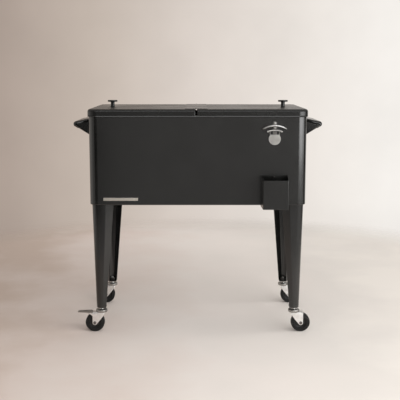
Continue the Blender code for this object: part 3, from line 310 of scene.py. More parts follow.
def placed(grid, origin=(0, 0, 0), across=(1, 0, 0), up=(0, 1, 0)):
    """A local grid of (a, b, c) at origin + a * across + b * up + c * (across x up)."""
    grid = np.asarray(grid, dtype=float)
    across, up = np.array(across, dtype=float), np.array(up, dtype=float)
    return np.array(origin) + grid[..., :1] * across + grid[..., 1:2] * up + grid[..., 2:] * np.cross(across, up)


def stacked(outline, *heights):
    """The same outline of (a, b) at several heights."""
    outline = np.asarray(outline, dtype=float)
    return np.stack([np.column_stack([outline, np.full(len(outline), height)]) for height in heights])


def applied(mesh, *modifiers):
    """The mesh with modifiers worked into it; each is a kind with its settings."""
    carrier = bpy.data.objects.new("carrier", mesh)
    bpy.context.scene.collection.objects.link(carrier)
    for kind, settings in modifiers:
        modifier = carrier.modifiers.new(kind.lower(), kind)
        for setting, value in settings.items():
            setattr(modifier, setting, value)
    evaluated = carrier.evaluated_get(bpy.context.evaluated_depsgraph_get())
    worked = bpy.data.meshes.new_from_object(evaluated)
    bpy.data.objects.remove(carrier)
    return worked


def rounded_edges(mesh, width, segments=3, angle=30):
    """The mesh with every edge sharper than the angle rounded over a width."""
    settings = {
        "width": width,
        "segments": segments,
        "limit_method": "ANGLE",
        "angle_limit": math.radians(angle),
        "use_clamp_overlap": True,
        "harden_normals": True,
    }
    return applied(mesh, ("BEVEL", settings))


strip = rounded_outline(plate_low[0], plate_high[0], plate_low[2], plate_high[2], PLATE_CORNER, PLATE_CORNER, 4, 0.0001)
strip_grid = placed(stacked(strip, GAP, GAP + PLATE_SHEET), (0, -REAR, 0), (1, 0, 0), (0, 0, 1))
strip_steel = brushed("brushed_stainless_strip", PLATE_STEEL, PLATE_SHADE, 0.30, (60, 1, 1))
show("name_plate_strip", rounded_edges(skin(strip_grid), EDGE), strip_steel, "cooler", "name_plate")

# Lid halves: pressed steel trays over foam, with a white inner sheet and a hollow rubber seal along their edge.
# They are powder coated with the cabinet, and a little smoother on their broad tops.
skin_low, skin_high = box("right_lid_skin")
left_high = box("left_lid_skin")[1]
LID_SIDE = skin_high[0]
LID_REAR = skin_high[1] - MIDDLE_Y
LID_TOP = skin_high[2]
SKIRT = skin_low[2]
SEAM_GAP = skin_low[0] - left_high[0]
SEAM_X = (skin_low[0] + left_high[0]) / 2
LID_RADIUS = 0.031
LID_EDGE = 0.009
SEAM_EDGE = 0.002
SEAM_CORNER = 0.003
SEAL_INSET = 0.0085
SEAL_WIDTH = 0.008
SEAL_HEIGHT = 0.0026
SEAL_BELLY = 0.0008


def lid_ring(side, inset, seam_inset, height):
    """Level outline of a lid half at an inset from its outer edges and another from the seam."""
    seam = SEAM_X + side * (SEAM_GAP / 2 + seam_inset)
    end = side * (LID_SIDE - inset)
    radii = (SEAM_CORNER, LID_RADIUS - inset) if side > 0 else (LID_RADIUS - inset, SEAM_CORNER)
    outline = rounded_outline(min(seam, end), max(seam, end), inset - LID_REAR, LID_REAR - inset, *radii)
    return np.column_stack([outline, np.full(len(outline), height)])


def lid_edge(side, inset):
    """Rings up the rounded edge of a lid half, at an inset below its outer face."""
    edge, seam_edge = LID_EDGE - inset, SEAM_EDGE - inset
    out, rise = quarter(edge)
    return [
        lid_ring(side, inset + step, inset + step * seam_edge / edge, LID_TOP - LID_EDGE + climb)
        for step, climb in zip(out, rise)
    ]


lid_coat = powder_coat("black_powder_coat_lid", POWDER_BLACK, POWDER_GREY, 0.25, 1.50)
# Extruded EPDM: dark grey and dull, with a faint grain.
seal_rubber = mottled("epdm_seal", "#2e2e2e", "#3c3c3b", {"Roughness": 0.62}, size=0.003, depth=0.00004, fine=0.0012)
half_turn = np.linspace(-np.pi / 2, np.pi / 2, 9)
belly, rise = SEAL_BELLY * np.cos(half_turn), SEAL_HEIGHT / 2 * (1 + np.sin(half_turn))
seal_rows = [
    *zip(SEAL_INSET + SEAL_BELLY - belly, SKIRT + rise),
    *zip(SEAL_INSET + SEAL_WIDTH - SEAL_BELLY + belly[::-1], SKIRT + rise[::-1]),
]
for word, side in (("left", -1), ("right", 1)):
    body = word + "_lid"
    tray = [
        *lid_edge(side, SHEET)[::-1],
        lid_ring(side, SHEET, SHEET, SKIRT),
        lid_ring(side, 0, 0, SKIRT),
        lid_ring(side, 0, 0, SKIRT + SHEET),
        lid_ring(side, 0, 0, LID_TOP - LID_EDGE - SHEET),
        *lid_edge(side, 0),
        lid_ring(side, LID_EDGE + SEAM_EDGE, 2 * SEAM_EDGE, LID_TOP),
    ]
    show(body + "_tray", skin(tray), lid_coat, body, body + "_skin")
    fold = SHEET + GAP
    sheet = skin([lid_ring(side, fold, fold, corner[2]) for corner in box(body + "_liner")])
    show(body + "_sheet", rounded_edges(sheet, 0.0004), tub_white, body, body + "_liner")
    seal = [lid_ring(side, inset, inset, height) for inset, height in seal_rows]
    show(body + "_seal", skin(seal, closed=True), seal_rubber, body, body + "_gasket")

# Hinge: one continuous steel hinge laid over the seam, its leaves on the two lids, painted black like them.
# Its knuckles are rolled round a steel pin that runs along the whole seam.
pin_low, pin_high = box("lid_hinge_pin")
HINGE_HEIGHT = (pin_low[2] + pin_high[2]) / 2
HINGE_END = pin_high[1] - MIDDLE_Y
LEAF_THICKNESS = 0.0010
LEAF_START = 0.0014
LEAF_REACH = 0.0363
KNUCKLE_RADIUS = 0.0017
KNUCKLE_BORE = 0.0010
KNUCKLES = 9


def bundle(meshes):
    """Several meshes as one."""
    joined = bmesh.new()
    for mesh in meshes:
        joined.from_mesh(mesh)
    mesh = bpy.data.meshes.new("bundle")
    joined.to_mesh(mesh)
    joined.free()
    return mesh


def lathe(profile, sides=48):
    """A grid of (a, b, c): a profile of (radius, c) turned round the c axis."""
    profile = np.asarray(profile, dtype=float)
    turn = np.linspace(0, 2 * np.pi, sides, endpoint=False)
    radius, climb = profile[:, :1], profile[:, 1:]
    return np.stack([radius * np.cos(turn), radius * np.sin(turn), climb + 0 * turn], axis=-1)


def softened(points, passes=2):
    """A line of points with its corners cut: each pass puts points a quarter and three quarters along every stretch."""
    line = np.asarray(points, dtype=float)
    for _ in range(passes):
        near = line[:-1] * 0.75 + line[1:] * 0.25
        far = line[:-1] * 0.25 + line[1:] * 0.75
        middle = np.stack([near, far], axis=1).reshape(-1, line.shape[1])
        line = np.vstack([line[:1], middle, line[-1:]])
    return line


hinge_coat = powder_coat("black_enamel_hinge", "#201e1d", "#2a2826", 0.24)
pitch = 2 * HINGE_END / KNUCKLES
for word, side in (("left", -1), ("right", 1)):
    own = 0 if side > 0 else 1
    parts = []
    edge = []
    for number in range(KNUCKLES):
        low = number * pitch - HINGE_END
        high = low + pitch
        joined_here = number % 2 == own
        trim = GAP / 2 if joined_here else -GAP / 2
        near = LEAF_START if joined_here else KNUCKLE_RADIUS + 2 * GAP
        low, high = max(low + trim, -HINGE_END), min(high - trim, HINGE_END)
        edge += [(near, low), (near, high)]
        if joined_here:
            wall = [(KNUCKLE_RADIUS, low), (KNUCKLE_RADIUS, high), (KNUCKLE_BORE, high), (KNUCKLE_BORE, low)]
            barrel = placed(lathe(wall, 20), (SEAM_X, 0, HINGE_HEIGHT), (0, 0, 1), (1, 0, 0))
            parts.append(skin(barrel, closed=True))
    outline = [(LEAF_REACH, HINGE_END), *edge[::-1], (LEAF_REACH, -HINGE_END)]
    outline = [(SEAM_X + side * x, y) for x, y in outline][::side]
    leaf = skin(stacked(outline, HINGE_HEIGHT - LEAF_THICKNESS, HINGE_HEIGHT))
    parts.append(rounded_edges(leaf, EDGE, 2))
    show(word + "_leaf", bundle(parts), hinge_coat, word + "_lid", word + "_hinge_leaf")
# The pin is drawn steel in a dark tone, a painted shade as dark as the seam it lies in.
coat("lid_hinge_pin", brushed("steel_pin_painted_shade", "#5a5856", "#4a4846", 0.35, (1, 60, 1)))

# Knobs: turned black phenolic, flared under a thin flat cap.
# Each is screwed down through its lid.
KNOB_CAP = 0.0168
KNOB_STEM = 0.0066
KNOB_FOOT = 0.0082
KNOB_DISC = 0.0058


def black_phenolic(name, roughness):
    """Moulded phenolic: deep black and glossy, with faint flow marks."""
    return mottled(name, "#0a0a0a", "#121212", {"Roughness": roughness}, size=0.008, depth=0.00001, fine=0.0010,
                   detail=3)


phenolic = black_phenolic("black_phenolic", 0.28)
for word in ("left", "right"):
    low, high = box(word + "_lid_knob")
    centre = ((low[0] + high[0]) / 2, 0, low[2])
    tall = high[2] - low[2]
    under = tall - KNOB_DISC
    profile = softened([
        (KNOB_FOOT, 0),
        (KNOB_FOOT, 0.0006),
        (KNOB_STEM + 0.0004, 0.0012),
        (KNOB_STEM, 0.0030),
        (KNOB_STEM, under - 0.0040),
        (KNOB_STEM, under - 0.0016),
        (KNOB_STEM + 0.0014, under),
        (KNOB_CAP - 0.0020, under),
        (KNOB_CAP - 0.0004, under + 0.0003),
        (KNOB_CAP, under + 0.0016),
        (KNOB_CAP, tall - 0.0014),
        (KNOB_CAP - 0.0003, tall - 0.0003),
        (KNOB_CAP - 0.0016, tall),
        (0.0020, tall),
        (0.0005, tall),
    ])
    knob = skin(placed(lathe(profile, 56), centre), sharp=60)
    show(word + "_knob", knob, phenolic, word + "_lid", word + "_lid_knob")

# Side handles: pressed steel hoods with a thick rolled grip, welded to the ends of the cabinet.
# The fingers reach in from below, so the hood is open there.
HANDLE_HALF = 0.103
HANDLE_REACH = 0.0626
HANDLE_TOP = 0.716
HANDLE_BOTTOM = 0.6535
TIP_HEIGHT = 0.6935
TIP_RADIUS = 0.0095
HANDLE_EDGE = 0.010
HANDLE_WALL = 0.003
HANDLE_GRIP = 0.016
HANDLE_CROWN = 0.002


def handle_ring(inset, along):
    """Outline of the hood at a place along its length: wall foot, round grip, sloping top, wall top.

    The straight lines touch the grip's circle, at the angles that their slopes give.
    """
    top = HANDLE_TOP - inset - HANDLE_CROWN * (along / HANDLE_HALF) ** 2
    reach = HANDLE_REACH - TIP_RADIUS
    radius = TIP_RADIUS - inset
    top_slope = math.atan2(top - TIP_HEIGHT - radius, reach)
    foot_slope = math.atan2(TIP_HEIGHT - radius - HANDLE_BOTTOM, reach)
    turn = np.linspace(foot_slope - np.pi / 2, np.pi / 2 - top_slope, 17)
    grip = np.stack([reach + radius * np.cos(turn), TIP_HEIGHT + radius * np.sin(turn)], axis=-1)
    corner = np.array([[0, HANDLE_BOTTOM], [0, top]])
    slope_low = corner[0] + (grip[0] - corner[0]) * 0.97
    slope_high = corner[1] + (grip[-1] - corner[1]) * 0.97
    line = np.vstack([corner[0], slope_low, grip, slope_high, corner[1]])
    return np.column_stack([line, np.full(len(line), along)])


def cut(mesh, *cutters, sharp=40, operation="DIFFERENCE"):
    """The mesh with closed shapes taken out of it, added to it or met by it."""
    tools = []
    for cutter in cutters:
        tool = bpy.data.objects.new("cutter", cutter)
        bpy.context.scene.collection.objects.link(tool)
        tools.append(tool)
    settings = [("BOOLEAN", {"operation": operation, "solver": "EXACT", "object": tool}) for tool in tools]
    worked = applied(mesh, *settings)
    for tool in tools:
        bpy.data.objects.remove(tool)
    worked.shade_smooth()
    worked.set_sharp_from_angle(angle=math.radians(sharp))
    return worked


out, rise = quarter(HANDLE_EDGE)
straight = HANDLE_HALF - HANDLE_EDGE - 0.0015
hood_rings = [
    handle_ring(HANDLE_EDGE + SHEET, -HANDLE_HALF),
    *(handle_ring(HANDLE_EDGE - climb, step - HANDLE_HALF) for step, climb in zip(out, rise)),
    *(handle_ring(0, along) for along in np.linspace(-straight, straight, 17)),
    *(handle_ring(HANDLE_EDGE - climb, HANDLE_HALF - step) for step, climb in zip(out[::-1], rise[::-1])),
    handle_ring(HANDLE_EDGE + SHEET, HANDLE_HALF),
]
reach = HANDLE_REACH - HANDLE_GRIP
slope = (HANDLE_TOP - TIP_HEIGHT - TIP_RADIUS) / (HANDLE_REACH - TIP_RADIUS)
ceiling = HANDLE_TOP - HANDLE_WALL
hollow = [
    (HANDLE_WALL, HANDLE_BOTTOM - 0.02),
    (reach, HANDLE_BOTTOM - 0.02),
    (reach, ceiling - slope * reach),
    (HANDLE_WALL, ceiling - slope * HANDLE_WALL),
]
half = HANDLE_HALF - HANDLE_WALL
for word, side in (("left", -1), ("right", 1)):
    on_wall = ((side * (SIDE + GAP), 0, 0), (side, 0, 0), (0, 0, 1))
    cutter = rounded_edges(skin(placed(stacked(hollow, -half, half), *on_wall)), 0.003, 5)
    show(word + "_handle", cut(skin(placed(np.stack(hood_rings), *on_wall)), cutter), body_coat, "cooler",
         word + "_side_handle")

# Bottle opener: one zinc casting, tumbled and nickel plated, so its edges are soft and its face is satin.
# Two screws hold it to the front wall.
opener_low, opener_high = box("bottle_opener")
FITTING_X = (opener_low[0] + opener_high[0]) / 2
DISC_RADIUS = 0.0197
DISC_HEIGHT = 0.6520
DISC_TOP = 0.6664
DISC_PROUD = 0.0060
OPENER_PLATE = 0.0030
NECK_WIDTH = 0.0140
LUG_RADIUS = 0.0065
LUG_HEIGHT = 0.7030
ARCH_RADIUS = 0.0698
HOOD_TOP = 0.6985
HOOD_HALF_SPAN = 0.0395
HOOD_PROUD = 0.0240
BAR = 0.0045
LIP_TOP = 0.6832
LIP_HALF_SPAN = 0.0252
LIP_PROUD = 0.0130
TOOTH_WIDTH = 0.0044
TOOTH_DROP = 0.0050
RIB = 0.0026
CAST_CELL = 0.00045
CAST_BROAD = 0.012
CAST_PORE = 0.0009


def on_front(grid):
    """A grid of (x, z, distance in front of the wall) placed on the front wall at the fittings' middle line."""
    return placed(grid, (FITTING_X, -REAR - GAP, 0), (1, 0, 0), (0, 0, 1))


def front_plate(outline, thick, back=0.0):
    """A plate on the front wall from an outline of (x, z) that runs counter-clockwise as seen from in front."""
    return skin(on_front(stacked(outline, back, back + thick)))


def rectangle(left, right, low, high):
    """Four corners, counter-clockwise from the low left one."""
    return [(left, low), (right, low), (right, high), (left, high)]


def circle(centre, radius, start, end, steps):
    """Points at centre + radius * (cos, sin) between two angles in degrees; an ellipse has a pair of radii."""
    turn = np.radians(np.linspace(start, end, steps + 1))
    return np.array(centre) + np.array(radius) * np.stack([np.cos(turn), np.sin(turn)], axis=-1)


def arched_bar(top, half_span, depth_at, steps=48):
    """A bar along x whose top is top - radius + sqrt(radius^2 - x^2); depth_at gives how far it stands out."""
    rings = []
    for x in np.linspace(-half_span, half_span, steps + 1):
        high = top - ARCH_RADIUS + math.sqrt(ARCH_RADIUS**2 - x**2)
        nose = circle((depth_at(x) - BAR / 2, high - BAR / 2), BAR / 2, 90, -90, 8)
        rings.append([(x, high, 0), *((x, height, depth) for depth, height in nose), (x, high - BAR, 0)])
    return skin(on_front(np.array(rings)))


def united(meshes):
    """Several closed meshes joined into one solid."""
    whole = meshes[0]
    for mesh in meshes[1:]:
        whole = cut(whole, mesh, operation="UNION")
    return whole


def as_cast(mesh, cell, rounds):
    """The solid rebuilt in cells and smoothed, so that its outer edges and inner corners are all a little round."""
    smooth = {"iterations": rounds, "factor": 0.5}
    worked = applied(mesh, ("REMESH", {"mode": "VOXEL", "voxel_size": cell}), ("SMOOTH", smooth))
    worked.shade_smooth()
    return worked


def satin_nickel(name):
    """Satin nickel on a casting, with a painted shade on its low faces and a painted highlight on its proud ones.

    Each of the two painted tones comes in between a near and a far distance in front of the wall.
    """
    material, place = blank(name)
    broad = add(material, "TexNoise", {"Vector": place, "Scale": 1 / CAST_BROAD, "Detail": 3})
    pores = add(material, "TexNoise", {"Vector": place, "Scale": 1 / CAST_PORE, "Detail": 2})
    split = add(material, "SeparateXYZ", {"Vector": place})
    wall = MIDDLE_Y - REAR
    tone = add(material, "ValToRGB", {"Fac": broad, "stops": [(0.3, "#adaba7"), (0.7, "#c0beba")]})
    # Painted shade on the faces within a few millimetres of the wall, then a painted highlight on the proudest faces.
    for near, far, start, end, shade in ((0.0055, 0.0035, 0.0, 0.7, "#4a4845"), (0.020, 0.008, 0.95, 0.0, "#fafafa")):
        ends = {"From Min": wall - near, "From Max": wall - far, "To Min": start, "To Max": end}
        share = add(material, "MapRange", {"Value": split.outputs["Y"], **ends})
        tone = add(material, "MixRGB", {"Fac": share, "Color1": tone, "Color2": colour(shade)})
    gloss = add(material, "ValToRGB", {"Fac": pores, "stops": [(0.3, 0.32), (0.7, 0.46)]})
    bumps = add(material, "Bump", {"Height": pores, "Distance": 0.00003})
    return shaded(material, {"Base Color": tone, "Roughness": gloss, "Normal": bumps, "Metallic": 1.0})


def hood_depth(x):
    """How far the hood stands out at x: BAR + (HOOD_PROUD - BAR) * sqrt(1 - (x / half span)^2)."""
    return BAR + (HOOD_PROUD - BAR) * math.sqrt(max(0, 1 - (x / HOOD_HALF_SPAN) ** 2))


nickel = satin_nickel("nickel_casting_painted_shade_and_highlight")
flat = math.degrees(math.asin((DISC_TOP - DISC_HEIGHT) / DISC_RADIUS))
disc = circle((0, DISC_HEIGHT), DISC_RADIUS, 180 - flat, 360 + flat, 64)
lug = circle((0, LUG_HEIGHT), LUG_RADIUS, 0, 180, 24)
neck = front_plate([(-NECK_WIDTH / 2, DISC_HEIGHT), (NECK_WIDTH / 2, DISC_HEIGHT), *lug], OPENER_PLATE)
mouth = front_plate(rectangle(-DISC_RADIUS, DISC_RADIUS, DISC_TOP, LIP_TOP - BAR), OPENER_PLATE, 0.0010)
parts = [
    front_plate(disc, DISC_PROUD),
    cut(neck, mouth),
    arched_bar(HOOD_TOP, HOOD_HALF_SPAN, hood_depth),
    arched_bar(LIP_TOP, LIP_HALF_SPAN, lambda x: LIP_PROUD),
]
for side in (-1, 1):
    rib_x = side * (DISC_RADIUS - BAR)
    drop = ARCH_RADIUS - math.sqrt(ARCH_RADIUS**2 - rib_x**2)
    rib = rectangle(rib_x - RIB / 2, rib_x + RIB / 2, DISC_HEIGHT, LIP_TOP - BAR / 2 - drop)
    parts.append(front_plate(rib, OPENER_PLATE))
    tooth_x = side * (LIP_HALF_SPAN - TOOTH_WIDTH * 0.75)
    low, high = LIP_TOP - BAR - TOOTH_DROP, LIP_TOP - BAR - drop
    tooth = rectangle(tooth_x - TOOTH_WIDTH / 2, tooth_x + TOOTH_WIDTH / 2, low, high)
    parts.append(front_plate(tooth, BAR, LIP_PROUD * 0.875 - BAR))
casting = as_cast(united(parts), CAST_CELL, 3)
show("opener_casting", casting, nickel, "cooler", "bottle_opener")

# Screws in front: zinc plated steel pan heads with a cross recess.
# Two are driven into the wall through the opener, and the cap catcher hangs on the third.
# A turned shape ends at POLE from its axis, where one flat face closes it.
SCREW_HEAD = 0.0042
SCREW_SHANK = 0.0021
SCREW_TALL = 0.0022
SCREW_RIM = 0.0004
SCREW_DOME = 0.0022
RECESS_DEPTH = 0.0012
POLE = 0.0006
PLATING_CLOUD = 0.010
DRAWING_MARK = 0.0012


def zinc_plated(name, light, shade, roughness, painted_top_shade="#ffffff", above=(1.0, 1.1)):
    """Bright zinc plating over pressed steel: bluish white, slightly cloudy, with fine drawing marks.

    A painted shade can darken a pedal's top face: its colour is multiplied by another, fading in between two heights.
    """
    material, place = blank(name)
    cloud = add(material, "TexNoise", {"Vector": place, "Scale": 1 / PLATING_CLOUD, "Detail": 4})
    fine = add(material, "TexNoise", {"Vector": place, "Scale": 1 / DRAWING_MARK, "Detail": 3})
    split = add(material, "SeparateXYZ", {"Vector": place})
    top_shade_share = add(material, "MapRange", {"Value": split.outputs["Z"], "From Min": above[0], "From Max": above[1]})
    tint = add(material, "ValToRGB", {"Fac": cloud, "stops": [(0.3, shade), (0.7, light)]})
    mix = {"blend_type": "MULTIPLY", "Fac": top_shade_share, "Color1": tint, "Color2": colour(painted_top_shade)}
    plated = add(material, "MixRGB", mix)
    gloss = add(material, "ValToRGB", {"Fac": fine, "stops": [(0.3, roughness - 0.06), (0.7, roughness + 0.08)]})
    bumps = add(material, "Bump", {"Height": fine, "Distance": 0.00002})
    return shaded(material, {"Base Color": plated, "Roughness": gloss, "Normal": bumps, "Metallic": 1.0})


bright_zinc = zinc_plated("bright_zinc", "#cfcecb", "#b9b8b4", 0.30)
black_zinc = zinc_plated("black_zinc", "#4c4b4a", "#3e3d3c", 0.42)
platings = {"opener_top_screw": bright_zinc, "opener_lower_screw": bright_zinc, "catcher_screw": black_zinc}
for node, plating in platings.items():
    low, high = box(node)
    centre = (low + high) / 2
    back = high[1] - low[1]
    shoulder = back - SCREW_TALL
    profile = [
        (POLE, 0),
        (SCREW_SHANK, 0),
        (SCREW_SHANK, shoulder),
        (SCREW_HEAD, shoulder),
        *circle((SCREW_HEAD - SCREW_DOME, shoulder + SCREW_RIM), (SCREW_DOME, SCREW_TALL - SCREW_RIM), 0, 90, 7),
        (0.0005, back),
    ]
    pose = ((centre[0], high[1] - MIDDLE_Y, centre[2]), (1, 0, 0), (0, 0, 1))
    head = skin(placed(lathe(profile, 32), *pose), sharp=50)
    bars = [
        skin(placed(stacked(rectangle(-wide, wide, -deep, deep), back - RECESS_DEPTH, back + 0.001), *pose))
        for wide, deep in ((0.0021, 0.0005), (0.0005, 0.0021))
    ]
    show(node + "_screw", cut(head, *bars), plating, "cooler", node)

# Cap catcher: a bent and spot welded steel box, powder coated with the cabinet.
# It hangs on its screw by a keyhole in its back; what cuts a hole runs PAST both faces.
CATCHER_DEPTH = 0.080
BACK_WIDTH = 0.087
FRONT_WIDTH = 0.082
CATCHER_CORNER = 0.0030
catcher_low, catcher_high = box("cap_catcher")
FRONT_TOP = 0.5250
BACK_TOP = catcher_high[2]
KEY_SCREW = 0.5272
KEY_DROP = 0.0110
KEY_RADIUS = 0.0050
PAST = 0.002


def rounded_polygon(corners, radii, steps=8, hold=0):
    """The outline of (a, b) corners with an arc of the given radius, tangent to both sides, at each corner.

    With a hold, one more point that far before and after each arc keeps the sides flat under smooth shading.
    """
    corners = np.asarray(corners, dtype=float)
    count = len(corners)
    radii = np.broadcast_to(radii, count)
    line = []
    for number, (corner, radius) in enumerate(zip(corners, radii)):
        before = corners[number - 1] - corner
        after = corners[(number + 1) % count] - corner
        before, after = before / np.linalg.norm(before), after / np.linalg.norm(after)
        if radius == 0:
            line.append(corner)
            continue
        half = math.acos(np.clip(before @ after, -1, 1)) / 2
        start, end = corner + before * radius / math.tan(half), corner + after * radius / math.tan(half)
        middle = (before + after) / np.linalg.norm(before + after)
        centre = corner + middle * radius / math.sin(half)
        first, last = start - centre, end - centre
        sweep = math.pi - 2 * half
        arc = [centre + (first * math.sin((1 - share) * sweep) + last * math.sin(share * sweep)) / math.sin(sweep)
               for share in np.linspace(0, 1, steps + 1)]
        line += [start + before * hold, *arc, end + after * hold] if hold else arc
    return np.array(line)


def catcher_ring(inset, back_height, front_height):
    """Level or tilted ring of the catcher at an inset; its height falls evenly from the wall to the front."""
    half_back, half_front = BACK_WIDTH / 2 - inset, FRONT_WIDTH / 2 - inset
    near, far = GAP + inset, GAP + CATCHER_DEPTH - inset
    corners = [(-half_front, -far), (half_front, -far), (half_back, -near), (-half_back, -near)]
    line = rounded_polygon(corners, CATCHER_CORNER - inset, hold=0.001)
    share = (-line[:, 1] - near) / (far - near)
    height = back_height + (front_height - back_height) * share
    return np.column_stack([line[:, 0] + FITTING_X, line[:, 1] - REAR, height])


rim, bend, foot = 0.0006, 0.0002, catcher_low[2]
hold = 3 * rim
foot_rows = [(rim, 0), (bend, bend), (0, rim), (0, hold)]
top_rows = [(0, hold), (0, rim), (bend, bend), (rim, 0), (SHEET - bend, bend), (SHEET, rim), (SHEET, hold)]
inner_rows = [(SHEET, SHEET + hold), (SHEET, SHEET + rim), (SHEET + rim, SHEET)]
catcher_rings = [
    *(catcher_ring(inset, foot + climb, foot + climb) for inset, climb in foot_rows),
    *(catcher_ring(inset, BACK_TOP - drop, FRONT_TOP - drop) for inset, drop in top_rows),
    *(catcher_ring(inset, foot + climb, foot + climb) for inset, climb in inner_rows),
]
slot = circle((0, KEY_SCREW), SCREW_SHANK + GAP, 0, 180, 12)
lean = math.degrees(math.asin((SCREW_SHANK + GAP) / KEY_RADIUS))
hole = circle((0, KEY_SCREW - KEY_DROP), KEY_RADIUS, 90 + lean, 450 - lean, 40)
key = front_plate([*slot, *hole], SHEET + 2 * PAST, -PAST)
show("catcher_box", cut(skin(catcher_rings), key), body_coat, "catcher", "cap_catcher")

# Legs: pressed from 2 mm sheet as tapering angles, each free edge bent in a little further down its crease.
# They are welded up inside the cabinet's bottom, with a plate across each foot, and coated with it.
LEG_FOOT = 0.083
LEG_OUTSET_X = 0.0066
LEG_OUTSET_Y = 0.0050
LEG_TOP_WIDTH = 0.0708
LEG_FOOT_WIDTH = 0.0333
LEG_FLAT_SHARE = 0.655
LEG_BEND = math.radians(30)
LEG_LEAN_X = 0.0245
LEG_LEAN_Y = 0.0060
LEG_SHEET = 0.0020
LEG_CORNER = 0.020
CREASE = 0.006
FOOT_PLATE = 0.0030
PLATE_RECESS = 0.0004
PLATE_LOW = LEG_FOOT + PLATE_RECESS
THREAD_RADIUS = 0.0047
CASTER_X = SIDE - LEG_OUTSET_X - (CASING_BOTTOM - LEG_FOOT) * LEG_LEAN_X - LEG_FOOT_WIDTH / 2
CASTER_Y = REAR - LEG_OUTSET_Y - (CASING_BOTTOM - LEG_FOOT) * LEG_LEAN_Y - LEG_FOOT_WIDTH / 2
LEG_TOP = box("front_left_leg")[1][2]
CORNERS = [("front_left", -1, -1), ("front_right", 1, -1), ("rear_left", -1, 1), ("rear_right", 1, 1)]


def leg_corners(height, depth):
    """Plan corners of a leg's sheet at a depth below its outer face: free edge, crease, corner, crease, free edge.

    With w the width at that height, the crease lies at its share of w and the strip beyond is turned in by the bend.
    """
    drop = CASING_BOTTOM - height
    x = SIDE - LEG_OUTSET_X - drop * LEG_LEAN_X
    y = REAR - LEG_OUTSET_Y - drop * LEG_LEAN_Y
    width = LEG_TOP_WIDTH - (LEG_TOP_WIDTH - LEG_FOOT_WIDTH) * drop / (CASING_BOTTOM - LEG_FOOT)
    flat = width * LEG_FLAT_SHARE - depth * math.tan(LEG_BEND / 2)
    along = width - depth * math.sin(LEG_BEND)
    inward = width * (1 - LEG_FLAT_SHARE) * math.tan(LEG_BEND) + depth * math.cos(LEG_BEND)
    return [(x - inward, y - along), (x - depth, y - flat), (x - depth, y - depth), (x - flat, y - depth),
            (x - along, y - inward)]


def leg_ring(height):
    """Level outline of a leg's sheet at a height: its outer corners, then its inner ones, each with an arc."""
    edge = 0.0007
    outer = leg_corners(height, 0)
    inner = leg_corners(height, LEG_SHEET)[::-1]
    inside = LEG_CORNER - LEG_SHEET
    radii = [edge, CREASE, LEG_CORNER, CREASE, edge, edge, CREASE - LEG_SHEET, inside, CREASE - LEG_SHEET, edge]
    line = rounded_polygon(outer + inner, radii)
    return np.column_stack([line, np.full(len(line), height)])


def drill(radius, low, high):
    """A grid of (a, b, c) for a round hole along the c axis."""
    return lathe([(radius, low), (radius, high)], 32)


plate_line = leg_corners(PLATE_LOW, LEG_SHEET / 2)
plate_line.append((plate_line[-1][0], plate_line[0][1]))
plan = rounded_polygon(plate_line, [0.0005, CREASE, LEG_CORNER - LEG_SHEET / 2, CREASE, 0.0005, 0.003])
for name, side, end in CORNERS:
    turned = side * end
    rings = np.stack([leg_ring(height) for height in (LEG_FOOT, LEG_TOP)])[:, ::turned] * (side, end, 1)
    leg = rounded_edges(skin(rings), 0.0006, 3, 60)
    plate = skin((stacked(plan, PLATE_LOW, PLATE_LOW + FOOT_PLATE) * (side, end, 1))[:, ::turned])
    hole = drill(THREAD_RADIUS + GAP, PLATE_LOW - PAST, PLATE_LOW + FOOT_PLATE + PAST)
    plate = cut(plate, skin(placed(hole, (side * CASTER_X, end * CASTER_Y, 0))))
    pressing = bundle([leg, rounded_edges(plate, 0.0004, 2, 60)])
    show(name + "_leg_pressing", pressing, body_coat, "cooler", name + "_leg")

# Casters: a zinc plated fork pressed from sheet turns on a ball race below a threaded stem; the race is chromed.
# The stem comes up through the leg's foot plate and is held by a nut. Wheels have rubber tyres on black hubs.
WHEEL_RADIUS = 0.03175
WHEEL_WIDTH = 0.022
TYRE_INNER = 0.0225
TYRE_SHOULDER = 0.003
HUB_BOSS = 0.009
HUB_WEB = 0.010
HUB_RIM = 0.0095
AXLE_RADIUS = 0.004
AXLE_HEAD = 0.0065
AXLE_HEAD_HEIGHT = 0.0035
TRAIL = 0.0224
FORK_GAP = 0.0260
FORK_SHEET = 0.0022
FORK_BACK = 0.0302
FORK_END = 0.0078
FORK_NOSE = 0.0120
FORK_LOW = 0.022
FORK_KNEE = (0.0016, 0.0445)
CROWN_BOTTOM = 0.0652
RACE_RADIUS = 0.0196
RACE_SPLIT = 0.0706
RACE_TOP = 0.0763
LOWER_ROUND = 0.0022
UPPER_ROUND = 0.0028
NECK_RADIUS = 0.0070
STEM_TOP = 0.0995
KINGPIN_RADIUS = 0.0040
KINGPIN_HEAD = 0.0058
KINGPIN_BOTTOM = 0.0622
STEM_NUT = 0.0092
STEM_NUT_HEIGHT = 0.0080
THREAD_PITCH = 0.0015
THREAD_DEPTH = 0.0006


def threaded(low, high, radius, pitch, depth, sides=32):
    """A screw thread as (a, b, c): radius - depth * |2 s - 1| with s the share of a pitch that height and turn make."""
    rows = int(round((high - low) / pitch * 10)) + 1
    climb = np.linspace(low, high, rows)[:, None]
    turn = np.linspace(0, 2 * np.pi, sides, endpoint=False)[None]
    share = np.mod(climb / pitch - turn / (2 * np.pi), 1)
    reach = radius - depth * np.abs(2 * share - 1)
    return np.stack([reach * np.cos(turn), reach * np.sin(turn), climb + 0 * turn], axis=-1)


def hexagonal(radius, low, high, bore):
    """A nut: six flats whose corners are turned off at 30 degrees above and below, with a round bore."""
    flats = rounded_polygon(circle((0, 0), radius, 0, 300, 5), 0.0004, 3)
    chamfer = radius * 0.10
    narrow, slope = radius - chamfer, chamfer * 0.6
    cone = [(narrow, low), (radius, low + slope), (radius, high - slope), (narrow, high)]
    body = cut(skin(stacked(flats, low, high)), skin(lathe(cone, 48)), operation="INTERSECT")
    return cut(body, skin(drill(bore, low - PAST, high + PAST)))


